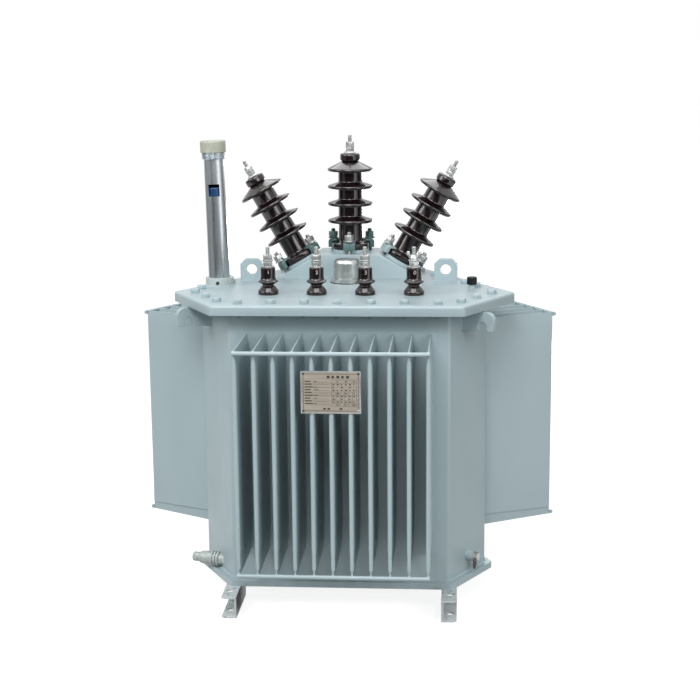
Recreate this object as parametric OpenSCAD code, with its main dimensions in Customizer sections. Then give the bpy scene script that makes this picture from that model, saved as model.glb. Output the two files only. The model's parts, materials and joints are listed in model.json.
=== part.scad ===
// Oil-filled three-phase distribution transformer with a six-sided tank.
// Millimetres, +Z up, ground at z = 0, front at -Y.
// The plan has three wide finned sides and three narrow plain sides,
// repeated every 120 degrees about the tank axis.

/* [Tank] */
// Width of each finned side
tank_long_side = 543; // [400:1:700]
// Width of each plain side
tank_short_side = 184; // [120:1:260]
// Height of the tank wall from the base plate to the cover
tank_wall_height = 704; // [560:1:900]
// Bend radius of the tank's upright corners
tank_corner_r = 12; // [4:1:25]
// Height of the base plate's edge
base_thickness = 16; // [8:1:24]
// Reach of the base plate beyond the wall
base_overhang = 16; // [8:1:30]

/* [Feet] */
// Height of each foot channel
foot_height = 55; // [40:1:80]
// Width of each foot channel
foot_width = 38; // [30:1:50]
// Sheet thickness of the foot channels
foot_wall = 5; // [4:0.5:8]
// Length of each foot channel
foot_length = 112; // [80:1:160]
// Reach of the front feet beyond the base plate
foot_reach = 80; // [50:1:100]
// Distance of the holding-down holes outside the tank's front corners
foot_hole_outset = 3.5; // [0:0.5:8]
// Distance of the rear holes behind the base plate's slanting edge
foot_hole_clear = 30; // [20:1:36]
// Diameter of each holding-down hole
foot_hole_d = 18; // [12:1:24]
// Distance of the hole from the free end of its foot
foot_hole_inset = 50; // [25:1:60]
// Corner cut at the free end of each foot
foot_corner_cut = 8; // [2:1:12]

/* [Cover] */
// Reach of the cover beyond the tank wall
cover_overhang = 61; // [45:1:80]
// Thickness of the cover plate
cover_plate = 6; // [4:0.5:10]
// Height of the cover's turned-down edge
cover_edge = 24.5; // [18:0.5:35]
// Thickness of the turned-down edge
cover_edge_wall = 5; // [3:0.5:8]
// Corner radius of the cover
cover_corner_r = 14; // [6:1:30]
// Thickness of the tank's top flange
flange_thickness = 12; // [8:1:16]
// Clearance between the flange and the turned-down edge
flange_clearance = 2; // [1:0.5:4]

/* [Fin banks] */
// Least plain strip beside the end fins
fin_side_margin = 40; // [30:1:60]
// Distance from fin to fin
fin_pitch = 45; // [35:1:60]
// Depth of each fin
fin_depth = 225; // [120:1:280]
// Thickness of each fin
fin_thickness = 11; // [8:0.5:14]
// Height of the fin's lower end above the base plate
fin_bottom_gap = 84; // [60:1:120]
// Depth of the fin's upper end below the cover plate
fin_top_gap = 71; // [60:1:120]
// Thickness of the pressed seam at each fin end
fin_seam = 3; // [2:0.5:4]
// Height of the pressed seam at the upper end
fin_seam_top = 8; // [4:1:20]
// Height of the pressed seam at the lower end
fin_seam_bottom = 22; // [10:1:30]
// Length over which the upper end swells to full thickness
fin_taper_top = 30; // [15:1:60]
// Length over which the lower end swells to full thickness
fin_taper_bottom = 50; // [20:1:80]
// Thickness of the wall sheet behind the fins
fin_sheet = 3; // [2:0.5:5]
// Margin of the wall sheet beside and below the fins
fin_sheet_margin = 12; // [6:1:20]
// Margin of the wall sheet above the fins
fin_sheet_top = 5; // [3:1:12]
// Diameter of the bars welded across the fin noses
fin_rod_d = 10; // [6:1:14]
// Reach of the bars beyond the end fins' seams
fin_rod_reach = 2; // [1:0.5:10]

/* [High-voltage side] */
// Height of the bushing turret above the cover
turret_height = 62; // [45:1:75]
// Half width of the turret's flat top
turret_top_half = 83; // [75:1:100]
// Slope of the turret's sides in degrees
turret_slope = 30; // [24:1:35]
// Depth of the turret from front to back
turret_depth = 150; // [130:1:160]
// Distance of the turret's middle from the rear wall
turret_rear_gap = 166.5; // [160:0.5:182]
// Clear strip between the turret and the cover's edge
turret_edge_strip = 52; // [45:1:60]
// Height of the seat ring under each bushing
hv_seat_height = 8.5; // [6:0.5:20]
// Rise of the side bushings above the middle of the turret's slopes
hv_slope_rise = 7; // [0:0.5:7]
// Step of the seat ring inside the bushing's foot
hv_seat_step = 1; // [0.5:0.5:4]
// Radius of the bushing's foot
hv_foot_r = 50.5; // [45:0.5:54]
// Height of the foot at its edge
hv_foot_height = 16; // [10:1:22]
// Rise of the foot's upper face towards the collar
hv_foot_rise = 5; // [2:1:10]
// Radius of the collar above the foot
hv_collar_r = 32.5; // [31:0.5:38]
// Height of the collar
hv_collar_height = 9; // [5:1:14]
// Radius of the porcelain between its sheds
hv_neck_r = 30.5; // [24:0.5:31]
// Radius of the sheds
hv_shed_r = 59.5; // [50:0.5:66]
// Radius of the sheds' rounded rims
hv_shed_rim = 4.5; // [3:0.5:6]
// Rise of a shed from its rim to the neck
hv_shed_rise = 9; // [5:1:14]
// Fillet where a shed meets the neck
hv_shed_fillet = 3.5; // [2:0.5:6]
// Height of the lowest shed's rim above the seat
hv_shed_first = 75; // [66:1:80]
// Distance from shed to shed
hv_shed_pitch = 46; // [40:1:48]
// Height of the neck between the top shed and the head
hv_top_neck = 1.5; // [0.5:0.5:5]
// Radius of the neck under the head
hv_top_neck_r = 20.5; // [16:0.5:24]
// Radius of the head
hv_head_r = 26; // [25:0.5:32]
// Height of the head
hv_head_height = 20; // [13:1:21]
// Edge radius of the head
hv_head_round = 6; // [2:0.5:6]
// Height of the porcelain above its seat
hv_height = 257; // [254:1:290]
// Radius of the ferrule on the head
hv_ferrule_r = 17; // [14:0.5:20]
// Height of the ferrule
hv_ferrule_height = 6; // [4:1:9]
// Corner radius of the terminal nuts
hv_nut_r = 11; // [9:0.5:14]
// Height of each terminal nut
hv_nut_height = 11; // [8:1:14]
// Radius of the washer between the nuts
hv_washer_r = 12.5; // [10:0.5:16]
// Thickness of the washer between the nuts
hv_washer_height = 3; // [2:0.5:5]
// Radius of the terminal stud
hv_stud_r = 5.5; // [4:0.5:8]
// Length of the stud above the upper nut
hv_stud_free = 18; // [10:1:40]
// Width of each bushing clamp
hv_clamp_width = 32; // [16:1:36]
// Thickness of the clamp's leg
hv_clamp_leg = 12.5; // [8:0.5:16]
// Clearance between the leg and the bushing's foot
hv_clamp_gap = 1; // [0.5:0.5:3]
// Reach of the clamp over the bushing's foot
hv_clamp_grip = 13; // [8:1:16]
// Height of the clamp above the foot's edge
hv_clamp_rise = 8; // [6:1:18]
// Height of the clamp's lower end above the turret
hv_clamp_lift = 9; // [2:1:10]
// Shoulder radius of the clamp
hv_clamp_round = 9; // [4:1:12]

/* [Low-voltage side] */
// Distance from bushing to bushing
lv_pitch = 122; // [100:0.5:140]
// Distance of the bushing row behind the front wall
lv_wall_gap = 118; // [90:1:165]
// Radius of the bushing's foot
lv_foot_r = 25.5; // [20:0.5:32]
// Height of the foot's rim
lv_foot_height = 11; // [6:1:14]
// Height of the bell above the foot
lv_bell_height = 13; // [8:1:15]
// Radius of the waist under the shed
lv_waist_r = 16; // [11:0.5:17]
// Height of the waist
lv_waist_height = 1.5; // [0.5:0.5:4]
// Radius of the shed
lv_shed_r = 26; // [21:0.5:32]
// Rise of the shed's underside from the waist to the rim
lv_shed_under = 7; // [3:0.5:9]
// Half thickness of the shed's rim
lv_shed_rim = 1.5; // [1:0.5:3]
// Drop of the shed's rim below the barrel
lv_shed_drop = 15; // [6:0.5:16]
// Radius of the upper barrel
lv_barrel_r = 17.5; // [15:0.5:20]
// Edge rounding of the porcelain
lv_edge = 2; // [1:0.5:3]
// Height of the porcelain above the cover
lv_height = 68; // [61:1:80]
// Radius of the terminal washers
lv_washer_r = 15.5; // [12:0.5:17]
// Thickness of the terminal washers
lv_washer_height = 3.5; // [2:0.5:5]
// Corner radius of the terminal nuts
lv_nut_r = 12.5; // [10:0.5:15]
// Height of each terminal nut
lv_nut_height = 12.5; // [8:0.5:16]
// Radius of the terminal stud
lv_stud_r = 5.5; // [4:0.5:8]
// Length of the stud above the upper nut
lv_stud_free = 20; // [12:1:40]
// Span of the wing nut on the neutral terminal
lv_wing_span = 38; // [32:1:46]
// Thickness of the wing nut's wings
lv_wing_thickness = 4.5; // [3:0.5:6]
// Height of the wing nut's wings
lv_wing_height = 21; // [16:1:25]

/* [Oil gauge] */
// Distance of the gauge from the cover's left rear edge
gauge_edge_gap = 40.5; // [40:0.5:70]
// Distance of the gauge from the middle of that edge
gauge_along = 170.5; // [120:0.5:180]
// Lean of the gauge to the left in degrees
gauge_lean = 1.4; // [0:0.1:2]
// Radius of the gauge flange
gauge_flange_r = 36.5; // [32:0.5:40]
// Height of the gauge flange
gauge_flange_height = 22; // [14:1:28]
// Thickness of the flange under the tube
gauge_floor = 4; // [3:0.5:6]
// Radius of the tube at its foot
gauge_tube_r = 27.5; // [26:0.5:30]
// Radius of the tube at its head
gauge_tube_top_r = 23.5; // [22:0.5:26]
// Height of the tube above the cover
gauge_tube_top = 333; // [290:1:360]
// Wall of the tube round its sight chamber
gauge_wall = 3; // [2:0.5:4]
// Radius of the collar under the cap
gauge_collar_r = 29.5; // [27:0.5:32]
// Height of the collar under the cap
gauge_collar_height = 13; // [8:1:18]
// Radius of the cap
gauge_cap_r = 33; // [30:0.5:38]
// Height of the cap
gauge_cap_height = 30; // [20:1:40]
// Edge radius of the cap
gauge_cap_round = 5; // [2:0.5:8]
// Width of the sight window
gauge_window_width = 30; // [20:1:34]
// Height of the sight window
gauge_window_height = 31; // [20:1:50]
// Height of the window's lower edge above the cover
gauge_window_low = 234; // [150:1:236]
// Clearance of the float in the sight chamber
gauge_float_gap = 1.5; // [1:0.5:4]
// Height of the float that shows in the window
gauge_float_show = 26; // [10:1:30]

/* [Cover fittings] */
// Shift of the turret, the relief valve and the bushings to the left
fittings_shift = 2.5; // [0:0.5:6]
// Distance of the relief valve in front of the turret
valve_gap = 70; // [54:1:80]
// Radius of the relief valve's flange
valve_flange_r = 43; // [38:1:48]
// Height of the relief valve's flange
valve_flange_height = 11; // [5:1:14]
// Radius of the relief valve's body
valve_body_r = 34.5; // [28:0.5:36]
// Depth of the groove above the flange
valve_groove_depth = 2.5; // [1:0.5:4]
// Height of the groove above the flange
valve_groove_height = 4; // [2:0.5:6]
// Width of the bevel round the valve's top
valve_bevel_width = 4; // [2:0.5:8]
// Height of the bevel round the valve's top
valve_bevel_height = 9; // [5:1:12]
// Width of the flat rim round the dish
valve_rim = 3; // [2:0.5:6]
// Depth of the dished top
valve_dish = 6; // [3:1:8]
// Height of the relief valve above the cover
valve_height = 60; // [45:1:70]
// Distance of the lifting lugs inside the tank's front corners
lug_inset = 14.5; // [5:0.5:40]
// Distance of the lifting lugs behind the tank axis
lug_back = 78; // [60:1:90]
// Width of each lifting lug
lug_width = 61; // [50:1:80]
// Height of each lifting lug
lug_height = 59; // [52:1:80]
// Thickness of each lifting lug
lug_thickness = 14; // [10:1:20]
// Corner cut of each lifting lug
lug_corner_cut = 14; // [8:1:18]
// Diameter of the lifting hole
lug_hole_d = 28; // [22:1:32]
// Height of the lifting hole above the cover
lug_hole_height = 31; // [26:1:34]
// Distance of the thermometer pocket from the cover's right rear edge
pocket_edge_gap = 72.5; // [60:0.5:90]
// Distance of the thermometer pocket from the middle of that edge
pocket_along = 214.5; // [190:0.5:225]
// Radius of the thermometer pocket
pocket_r = 8.5; // [6:0.5:12]
// Height of the pocket under its cap
pocket_height = 13; // [8:1:20]
// Radius of the pocket's cap
pocket_cap_r = 12.8; // [12.5:0.1:16]
// Height of the pocket's cap
pocket_cap_height = 19; // [14:1:26]
// Edge radius of the pocket's cap
pocket_cap_round = 4; // [2:0.5:6]

/* [Tank fittings] */
// Thickness of each tank hook
hook_thickness = 14; // [10:1:20]
// Distance of each tank hook from the middle of its side
hook_offset = 30; // [0:1:45]
// Reach of each tank hook from the wall
hook_reach = 91; // [80:1:110]
// Height of each tank hook at the wall
hook_height = 52; // [50:1:80]
// Clearance between the tank hooks and the cover's edge
hook_clearance = 2.5; // [1:0.5:6]
// Shoulder radius of each tank hook
hook_round = 22; // [14:1:28]
// Radius of the hook's sling notch
hook_notch_r = 11; // [8:1:18]
// Distance of the notch from the hook's end
hook_notch_inset = 32; // [30:1:36]
// Depth of the notch's centre below the hook's top
hook_notch_drop = 36; // [32:1:42]
// Depth of the notch's mouth below the hook's top
hook_mouth_drop = 47; // [43:1:49]
// Slant of the hook's nose
hook_nose = 4; // [2:1:12]
// Height of the drain valve's axis above the base plate
drain_height = 22; // [21:1:50]
// Slant of the drain valve to its side of the tank in degrees
drain_turn = 45; // [0:1:50]
// Radius of the drain valve's rings
drain_ring_r = 19; // [16:0.5:20]
// Width of the drain valve's rings
drain_ring_width = 5; // [3:0.5:7]
// Distance from ring to ring
drain_ring_pitch = 8; // [8:0.5:12]
// Distance of the first ring from the wall, along the valve
drain_ring_first = 4; // [4:1:14]
// Radius of the drain valve's body
drain_body_r = 17; // [13:0.5:19]
// Taper of the body towards its ends
drain_taper = 2; // [1:0.5:3]
// Length of the body beyond the rings
drain_body_length = 31; // [20:1:40]
// Radius of the drain cap
drain_cap_r = 12; // [8:0.5:14]
// Length of the drain cap
drain_cap_length = 21; // [12:1:30]
// Height of the earth terminal above the base plate
earth_height = 45; // [30:1:80]
// Radius of the earth boss
earth_boss_r = 13.5; // [10:0.5:16]
// Length of the earth boss
earth_boss_length = 20; // [10:1:24]
// Radius of the earth washer
earth_washer_r = 12.5; // [10:0.5:16]
// Thickness of the earth washer
earth_washer_height = 3; // [2:0.5:4]
// Corner radius of the earth bolt's head
earth_head_r = 10.5; // [8:0.5:13]
// Height of the earth bolt's head
earth_head_height = 9; // [6:1:12]
// Width of the nameplate
plate_width = 140; // [100:1:180]
// Height of the nameplate
plate_height = 100; // [70:1:130]
// Thickness of the nameplate
plate_thickness = 2; // [1:0.5:3]
// Depth of the nameplate's upper edge below the fins' upper ends
plate_drop = 46; // [20:1:200]

/* [Hidden] */
$fn = 64;
touch = 0.2;
over = 1;
nose_steps = 8;
curve_steps = 4;
root3 = sqrt(3);
long_d = (tank_long_side + 2 * tank_short_side) / (2 * root3);
short_d = (2 * tank_long_side + tank_short_side) / (2 * root3);
base_z = foot_height;
wall_z = base_z + base_thickness;
wall_top = wall_z + tank_wall_height;
cover_z = wall_top + cover_plate;
fin_z = wall_z + fin_bottom_gap;
fin_height = tank_wall_height - fin_bottom_gap - fin_top_gap;
fin_top = fin_z + fin_height;
fin_count = floor((tank_long_side - 2 * fin_side_margin) / fin_pitch) + 1;
bank_half = (fin_count - 1) / 2 * fin_pitch + fin_thickness / 2;
rod_half = (fin_count - 1) / 2 * fin_pitch + fin_seam / 2 + fin_rod_reach;
bank_reach = long_d + fin_depth + touch + fin_rod_d;
rear_reach = max(bank_reach / 2 + rod_half * root3 / 2, short_d + max(cover_overhang, hook_reach));
axis_y = (bank_reach - rear_reach) / 2;
foot_hole_x = tank_long_side / 2 + foot_hole_outset;
foot_side_x = foot_hole_x - (foot_width + foot_wall) / 2;
foot_front_y = -(long_d + base_overhang + foot_reach);
foot_front_hole_y = foot_front_y + foot_hole_inset;
foot_rear_hole_y = 2 * (long_d + base_overhang) - root3 * foot_hole_x + foot_hole_clear;
foot_rear_y = foot_rear_hole_y + foot_hole_inset;
slope_run = turret_height / tan(turret_slope);
turret_base_half = turret_top_half + slope_run;
turret_back = short_d - turret_rear_gap;
turret_front = turret_back - turret_depth / 2;
turret_rear = turret_back + turret_depth / 2;
slope_mid_x = turret_top_half + slope_run / 2;
gauge_slant = (gauge_tube_r - gauge_tube_top_r) / (gauge_tube_top - gauge_flange_height);
gauge_window_r = gauge_tube_r - gauge_slant * (gauge_window_low + gauge_window_height - gauge_flange_height);
gauge_chamber_r = gauge_window_r - gauge_wall;
drain_body_start = drain_ring_first + 2 * drain_ring_pitch + drain_ring_width;
drain_cap_start = drain_body_start + drain_body_length;

paint = [0.62, 0.70, 0.72];
porcelain = [0.12, 0.07, 0.06];
zinc = [0.70, 0.71, 0.70];

// Outline helpers

function turn(p, a) = [p.x * cos(a) - p.y * sin(a), p.x * sin(a) + p.y * cos(a)];

// Corners of the six-sided outline moved outwards by o
function six(o) = let (h = tank_long_side / 2 + o / root3, d = long_d + o)
    [for (k = [0 : 2]) for (s = [-1, 1]) turn([s * h, -d], 120 * k)];

// Points of an arc round c from angle a to angle b
function arc(c, r, a, b, n = nose_steps) =
    [for (k = [0 : n]) c + r * [cos(a + (b - a) * k / n), sin(a + (b - a) * k / n)]];

// Points of an outline whose corners are rounded to radius r
function eased(p, r, n = 6) = [for (i = [0 : len(p) - 1])
    let (a = p[(i + len(p) - 1) % len(p)], b = p[(i + 1) % len(p)], c = p[i],
         u = (a - c) / norm(a - c), v = (b - c) / norm(b - c),
         half = acos(u * v) / 2, m = (u + v) / norm(u + v),
         o = c + m * r / sin(half),
         s = c + u * r / tan(half) - o, e = c + v * r / tan(half) - o,
         t0 = atan2(s.y, s.x), dt = (atan2(e.y, e.x) - t0 + 540) % 360 - 180)
    for (k = [0 : n]) o + r * [cos(t0 + dt * k / n), sin(t0 + dt * k / n)]];

module six_plate(o, r, h) {
    linear_extrude(h) polygon(eased(six(o), r));
}

module on_axis() {
    translate([0, axis_y, 0]) children();
}

// Middle of the fittings on the cover's upper face
module on_cover() {
    on_axis() translate([-fittings_shift, 0, cover_z]) children();
}

// Puts a piece made on +Y onto a side whose outward direction is angle a
module on_side(a, d) {
    on_axis() rotate([0, 0, a - 90]) translate([0, d, 0]) children();
}

// Tank

module tank_body() {
    color(paint) on_axis() translate([0, 0, wall_z]) six_plate(0, tank_corner_r, tank_wall_height);
}

module base_plate() {
    color(paint) on_axis() translate([0, 0, base_z])
        six_plate(base_overhang, tank_corner_r, base_thickness);
}

module tank_flange() {
    color(paint) on_axis() translate([0, 0, wall_top - flange_thickness]) difference() {
        six_plate(cover_overhang - cover_edge_wall - flange_clearance, tank_corner_r, flange_thickness);
        translate([0, 0, -over]) six_plate(0, tank_corner_r, flange_thickness + 2 * over);
    }
}

module cover() {
    color(paint) on_axis() translate([0, 0, cover_z - cover_edge]) difference() {
        six_plate(cover_overhang, cover_corner_r, cover_edge);
        translate([0, 0, -over])
            six_plate(cover_overhang - cover_edge_wall, cover_corner_r - cover_edge_wall,
                      cover_edge - cover_plate + over);
    }
}

// Fins

// A pressed fin, thin at its welded upper and lower ends and round at its nose
module fin() {
    w = fin_thickness / 2;
    m = w + over;
    e = fin_seam / 2;
    z1 = fin_seam_bottom;
    z2 = z1 + fin_taper_bottom * (m - e) / (w - e);
    z4 = fin_height - fin_seam_top;
    z3 = z4 - fin_taper_top * (m - e) / (w - e);
    intersection() {
        linear_extrude(fin_height)
            polygon(concat([[-w, 0], [w, 0]], arc([0, fin_depth - w], w, 0, 180)));
        translate([0, fin_depth + over, 0]) rotate([90, 0, 0]) linear_extrude(fin_depth + 2 * over)
            polygon([[-e, -over], [e, -over], [e, z1], [m, z2], [m, z3], [e, z4],
                     [e, fin_height + over], [-e, fin_height + over],
                     [-e, z4], [-m, z3], [-m, z2], [-e, z1]]);
    }
}

module fin_bank(a) {
    color(paint) on_side(a, long_d) {
        for (i = [0 : fin_count - 1])
            translate([(i - (fin_count - 1) / 2) * fin_pitch, 0, fin_z]) fin();
        translate([-bank_half - fin_sheet_margin, 0, fin_z - fin_sheet_margin])
            cube([2 * (bank_half + fin_sheet_margin), fin_sheet,
                  fin_height + fin_sheet_margin + fin_sheet_top]);
    }
}

module fin_rods(a) {
    color(paint) on_side(a, long_d + fin_depth + touch + fin_rod_d / 2)
        for (z = [fin_z + fin_rod_d / 2, fin_top - fin_rod_d / 2])
            translate([-rod_half, 0, z]) rotate([0, 90, 0]) cylinder(h = 2 * rod_half, d = fin_rod_d);
}

module front_fin_bank() { fin_bank(-90); }
module right_fin_bank() { fin_bank(30); }
module left_fin_bank() { fin_bank(150); }
module front_fin_rods() { fin_rods(-90); }
module right_fin_rods() { fin_rods(30); }
module left_fin_rods() { fin_rods(150); }

// Feet, with the web on the inner side and the open side outwards

module foot(side, front) {
    y = front ? foot_front_y : foot_rear_y - foot_length;
    free_y = front ? foot_front_y : foot_rear_y;
    hole_y = front ? foot_front_hole_y : foot_rear_hole_y;
    tall = foot_height + 2 * over;
    color(paint) on_axis() scale([side, 1, 1]) difference() {
        translate([foot_side_x, y, 0]) cube([foot_width, foot_length, foot_height]);
        translate([foot_side_x + foot_wall, y - over, foot_wall])
            cube([foot_width, foot_length + 2 * over, foot_height - 2 * foot_wall]);
        translate([foot_hole_x, hole_y, -over]) cylinder(h = tall, d = foot_hole_d);
        translate([foot_side_x + foot_width, free_y, tall / 2 - over]) rotate([0, 0, 45])
            cube([foot_corner_cut * sqrt(2), foot_corner_cut * sqrt(2), tall], center = true);
    }
}

module foot_front_left() { foot(-1, true); }
module foot_front_right() { foot(1, true); }
module foot_rear_left() { foot(-1, false); }
module foot_rear_right() { foot(1, false); }

// High-voltage side

module hv_turret() {
    strip = 2 * (long_d + cover_overhang - turret_edge_strip);
    front = turret_front - over;
    rear = turret_rear + over;
    wide = turret_base_half + over;
    color(paint) on_cover() intersection() {
        translate([0, turret_rear, 0]) rotate([90, 0, 0]) linear_extrude(turret_depth)
            polygon([[-turret_base_half, 0], [turret_base_half, 0],
                     [turret_top_half, turret_height], [-turret_top_half, turret_height]]);
        translate([0, 0, -over]) linear_extrude(turret_height + 2 * over)
            polygon([[-wide, front], [wide, front], [wide, strip - root3 * wide],
                     [(strip - rear) / root3, rear], [-(strip - rear) / root3, rear],
                     [-wide, strip - root3 * wide]]);
    }
}

// Places a piece on the turret: side -1 left slope, 0 flat top, 1 right slope
module on_turret(side) {
    on_cover() translate([side * slope_mid_x, turret_back, side == 0 ? turret_height : turret_height / 2])
        rotate([0, side * turret_slope, 0]) translate([-side * hv_slope_rise, 0, 0]) children();
}

module hv_seat_rings() {
    color(paint) for (s = [-1, 0, 1]) on_turret(s)
        cylinder(h = hv_seat_height, r = hv_foot_r - hv_seat_step);
}

// Outline of one shed whose rim is at height z
function shed_under(z) = concat(
    [[hv_neck_r, z - hv_shed_rim - hv_shed_fillet], [hv_neck_r + hv_shed_fillet, z - hv_shed_rim]],
    arc([hv_shed_r - hv_shed_rim, z], hv_shed_rim, -90, 90));
function shed_over(z) = let (top = z + hv_shed_rim + hv_shed_rise)
    [[hv_neck_r + hv_shed_fillet, top - hv_shed_fillet / 2], [hv_neck_r, top]];

module hv_bushing(s) {
    collar_z = hv_foot_height + hv_foot_rise;
    last_z = hv_shed_first + 3 * hv_shed_pitch;
    head_z = hv_height - hv_head_height;
    in = hv_head_r - hv_head_round;
    color(porcelain) on_turret(s) translate([0, 0, hv_seat_height]) rotate_extrude()
        polygon(concat(
            [[0, 0], [hv_foot_r, 0], [hv_foot_r, hv_foot_height], [hv_collar_r, collar_z],
             [hv_collar_r, collar_z + hv_collar_height], [hv_neck_r, collar_z + hv_collar_height]],
            [for (k = [0 : 2]) let (z = hv_shed_first + k * hv_shed_pitch)
                each concat(shed_under(z), shed_over(z))],
            shed_under(last_z),
            [[hv_top_neck_r, head_z - hv_top_neck], [hv_top_neck_r, head_z]],
            arc([in, head_z + hv_head_round], hv_head_round, -90, 0, curve_steps),
            arc([in, hv_height - hv_head_round], hv_head_round, 0, 90, curve_steps),
            [[0, hv_height]]));
}

module hv_bushing_left() { hv_bushing(-1); }
module hv_bushing_centre() { hv_bushing(0); }
module hv_bushing_right() { hv_bushing(1); }

module hv_terminals() {
    washer_z = hv_ferrule_height + hv_nut_height;
    nut_z = washer_z + hv_washer_height;
    color(zinc) for (s = [-1, 0, 1]) on_turret(s) translate([0, 0, hv_seat_height + hv_height]) {
        cylinder(h = hv_ferrule_height, r1 = hv_ferrule_r, r2 = hv_nut_r);
        translate([0, 0, hv_ferrule_height]) cylinder(h = hv_nut_height, r = hv_nut_r, $fn = 6);
        translate([0, 0, washer_z]) cylinder(h = hv_washer_height, r = hv_washer_r);
        translate([0, 0, nut_z]) cylinder(h = hv_nut_height, r = hv_nut_r, $fn = 6);
        cylinder(h = nut_z + hv_nut_height + hv_stud_free, r = hv_stud_r);
    }
}

// Three clamps to a bushing, one in front of the middle bushing and behind the others
module hv_clamps() {
    in = hv_foot_r + hv_clamp_gap;
    out = in + hv_clamp_leg;
    nose = hv_foot_r - hv_clamp_grip;
    edge_z = hv_seat_height + hv_foot_height + touch;
    nose_z = edge_z + hv_foot_rise * hv_clamp_grip / (hv_foot_r - hv_collar_r);
    top = edge_z + hv_clamp_rise;
    color([0.26, 0.37, 0.37]) for (s = [-1, 0, 1]) on_turret(s) for (k = [0 : 2])
        rotate([0, 0, (s == 0 ? -90 : 90) + 120 * k])
            translate([0, hv_clamp_width / 2, 0]) rotate([90, 0, 0]) linear_extrude(hv_clamp_width)
                polygon(concat([[in, hv_clamp_lift], [out, hv_clamp_lift]],
                    arc([out - hv_clamp_round, top - hv_clamp_round], hv_clamp_round, 0, 90, curve_steps),
                    [[nose + hv_clamp_gap, top], [nose, top - hv_clamp_gap], [nose, nose_z],
                     [hv_foot_r, edge_z], [in, edge_z]]));
}

// Low-voltage side

module on_row(i) {
    on_cover() translate([(i - 2.5) * lv_pitch, lv_wall_gap - long_d, 0]) children();
}

module lv_bushing(i) {
    f = lv_foot_r;
    b = lv_barrel_r;
    h = lv_height;
    waist_z = lv_foot_height + lv_bell_height;
    under_z = waist_z + lv_waist_height + lv_shed_under;
    rim_z = under_z + lv_shed_rim;
    barrel_z = rim_z + lv_shed_drop;
    color(porcelain) on_row(i) rotate_extrude()
        polygon([[0, 0], [f, 0], [f, lv_foot_height - lv_edge], [f - lv_edge, lv_foot_height],
                 [lv_waist_r, waist_z], [lv_waist_r, waist_z + lv_waist_height],
                 [lv_shed_r - lv_shed_rim, under_z], [lv_shed_r, rim_z],
                 [lv_shed_r - lv_shed_rim, rim_z + lv_shed_rim],
                 [b + lv_edge, barrel_z - lv_edge], [b, barrel_z], [b, h - lv_edge], [b - lv_edge, h], [0, h]]);
}

module lv_bushing_1() { lv_bushing(1); }
module lv_bushing_2() { lv_bushing(2); }
module lv_bushing_3() { lv_bushing(3); }
module lv_bushing_4() { lv_bushing(4); }

module lv_wing_nut() {
    tip = lv_wing_span / 2;
    hub = lv_nut_r - lv_edge;
    rise = lv_wing_height;
    cylinder(h = lv_nut_height, r = hub);
    for (side = [0, 1]) mirror([side, 0, 0]) translate([0, lv_wing_thickness / 2, 0])
        rotate([90, 0, 0]) linear_extrude(lv_wing_thickness)
            polygon(concat([[hub / 2, 0], [hub, lv_edge]],
                arc([tip - rise / 4, rise * 3 / 4], rise / 4, -45, 135, curve_steps),
                [[hub, lv_nut_height], [hub / 2, lv_nut_height]]));
}

module lv_terminals() {
    nut_z = lv_washer_height;
    washer_z = nut_z + lv_nut_height;
    upper_z = washer_z + lv_washer_height;
    color(zinc) for (i = [1 : 4]) on_row(i) translate([0, 0, lv_height]) {
        cylinder(h = lv_washer_height, r = lv_washer_r);
        translate([0, 0, nut_z]) cylinder(h = lv_nut_height, r = lv_nut_r, $fn = 6);
        translate([0, 0, washer_z]) cylinder(h = lv_washer_height, r = lv_nut_r + lv_edge / 2);
        translate([0, 0, upper_z]) {
            if (i == 4) lv_wing_nut();
            else cylinder(h = lv_nut_height, r = lv_nut_r, $fn = 6);
        }
        cylinder(h = upper_z + lv_nut_height + lv_stud_free, r = lv_stud_r);
    }
}

// Oil gauge, a leaning tube whose foot stands in a level flange

module at_gauge() {
    on_side(150, long_d + cover_overhang - gauge_edge_gap)
        translate([-gauge_along, 0, cover_z]) rotate([0, 0, -60]) children();
}

module along_gauge() {
    at_gauge() translate([0, 0, gauge_floor]) rotate([0, -gauge_lean, 0])
        translate([0, 0, -gauge_floor]) children();
}

module gauge_flange() {
    color(paint) difference() {
        at_gauge() cylinder(h = gauge_flange_height, r = gauge_flange_r);
        along_gauge() translate([0, 0, gauge_floor])
            cylinder(h = gauge_flange_height, r = gauge_tube_r + touch);
    }
}

module gauge_tube() {
    color([0.75, 0.76, 0.76]) along_gauge() difference() {
        rotate_extrude()
            polygon([[0, gauge_floor], [gauge_tube_r, gauge_floor], [gauge_tube_r, gauge_flange_height],
                     [gauge_tube_top_r, gauge_tube_top], [gauge_collar_r, gauge_tube_top],
                     [gauge_collar_r, gauge_tube_top + gauge_collar_height],
                     [0, gauge_tube_top + gauge_collar_height]]);
        translate([0, 0, gauge_window_low - gauge_window_height])
            cylinder(h = 3 * gauge_window_height, r = gauge_chamber_r);
        translate([-gauge_window_width / 2, -gauge_tube_r, gauge_window_low])
            cube([gauge_window_width, gauge_tube_r, gauge_window_height]);
    }
}

module gauge_float() {
    color([0.1, 0.25, 0.6]) along_gauge() translate([0, 0, gauge_window_low - gauge_window_height])
        cylinder(h = gauge_window_height + gauge_float_show, r = gauge_chamber_r - gauge_float_gap);
}

module gauge_cap() {
    low = gauge_tube_top + gauge_collar_height;
    high = low + gauge_cap_height;
    color([0.80, 0.76, 0.62]) along_gauge() rotate_extrude()
        polygon(concat([[0, low], [gauge_cap_r, low]],
            arc([gauge_cap_r - gauge_cap_round, high - gauge_cap_round], gauge_cap_round, 0, 90, curve_steps),
            [[0, high]]));
}

// Cover fittings

module at_valve() {
    on_cover() translate([0, turret_front - valve_gap, 0]) children();
}

module valve_flange() {
    color(zinc) at_valve() cylinder(h = valve_flange_height, r = valve_flange_r);
}

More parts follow.
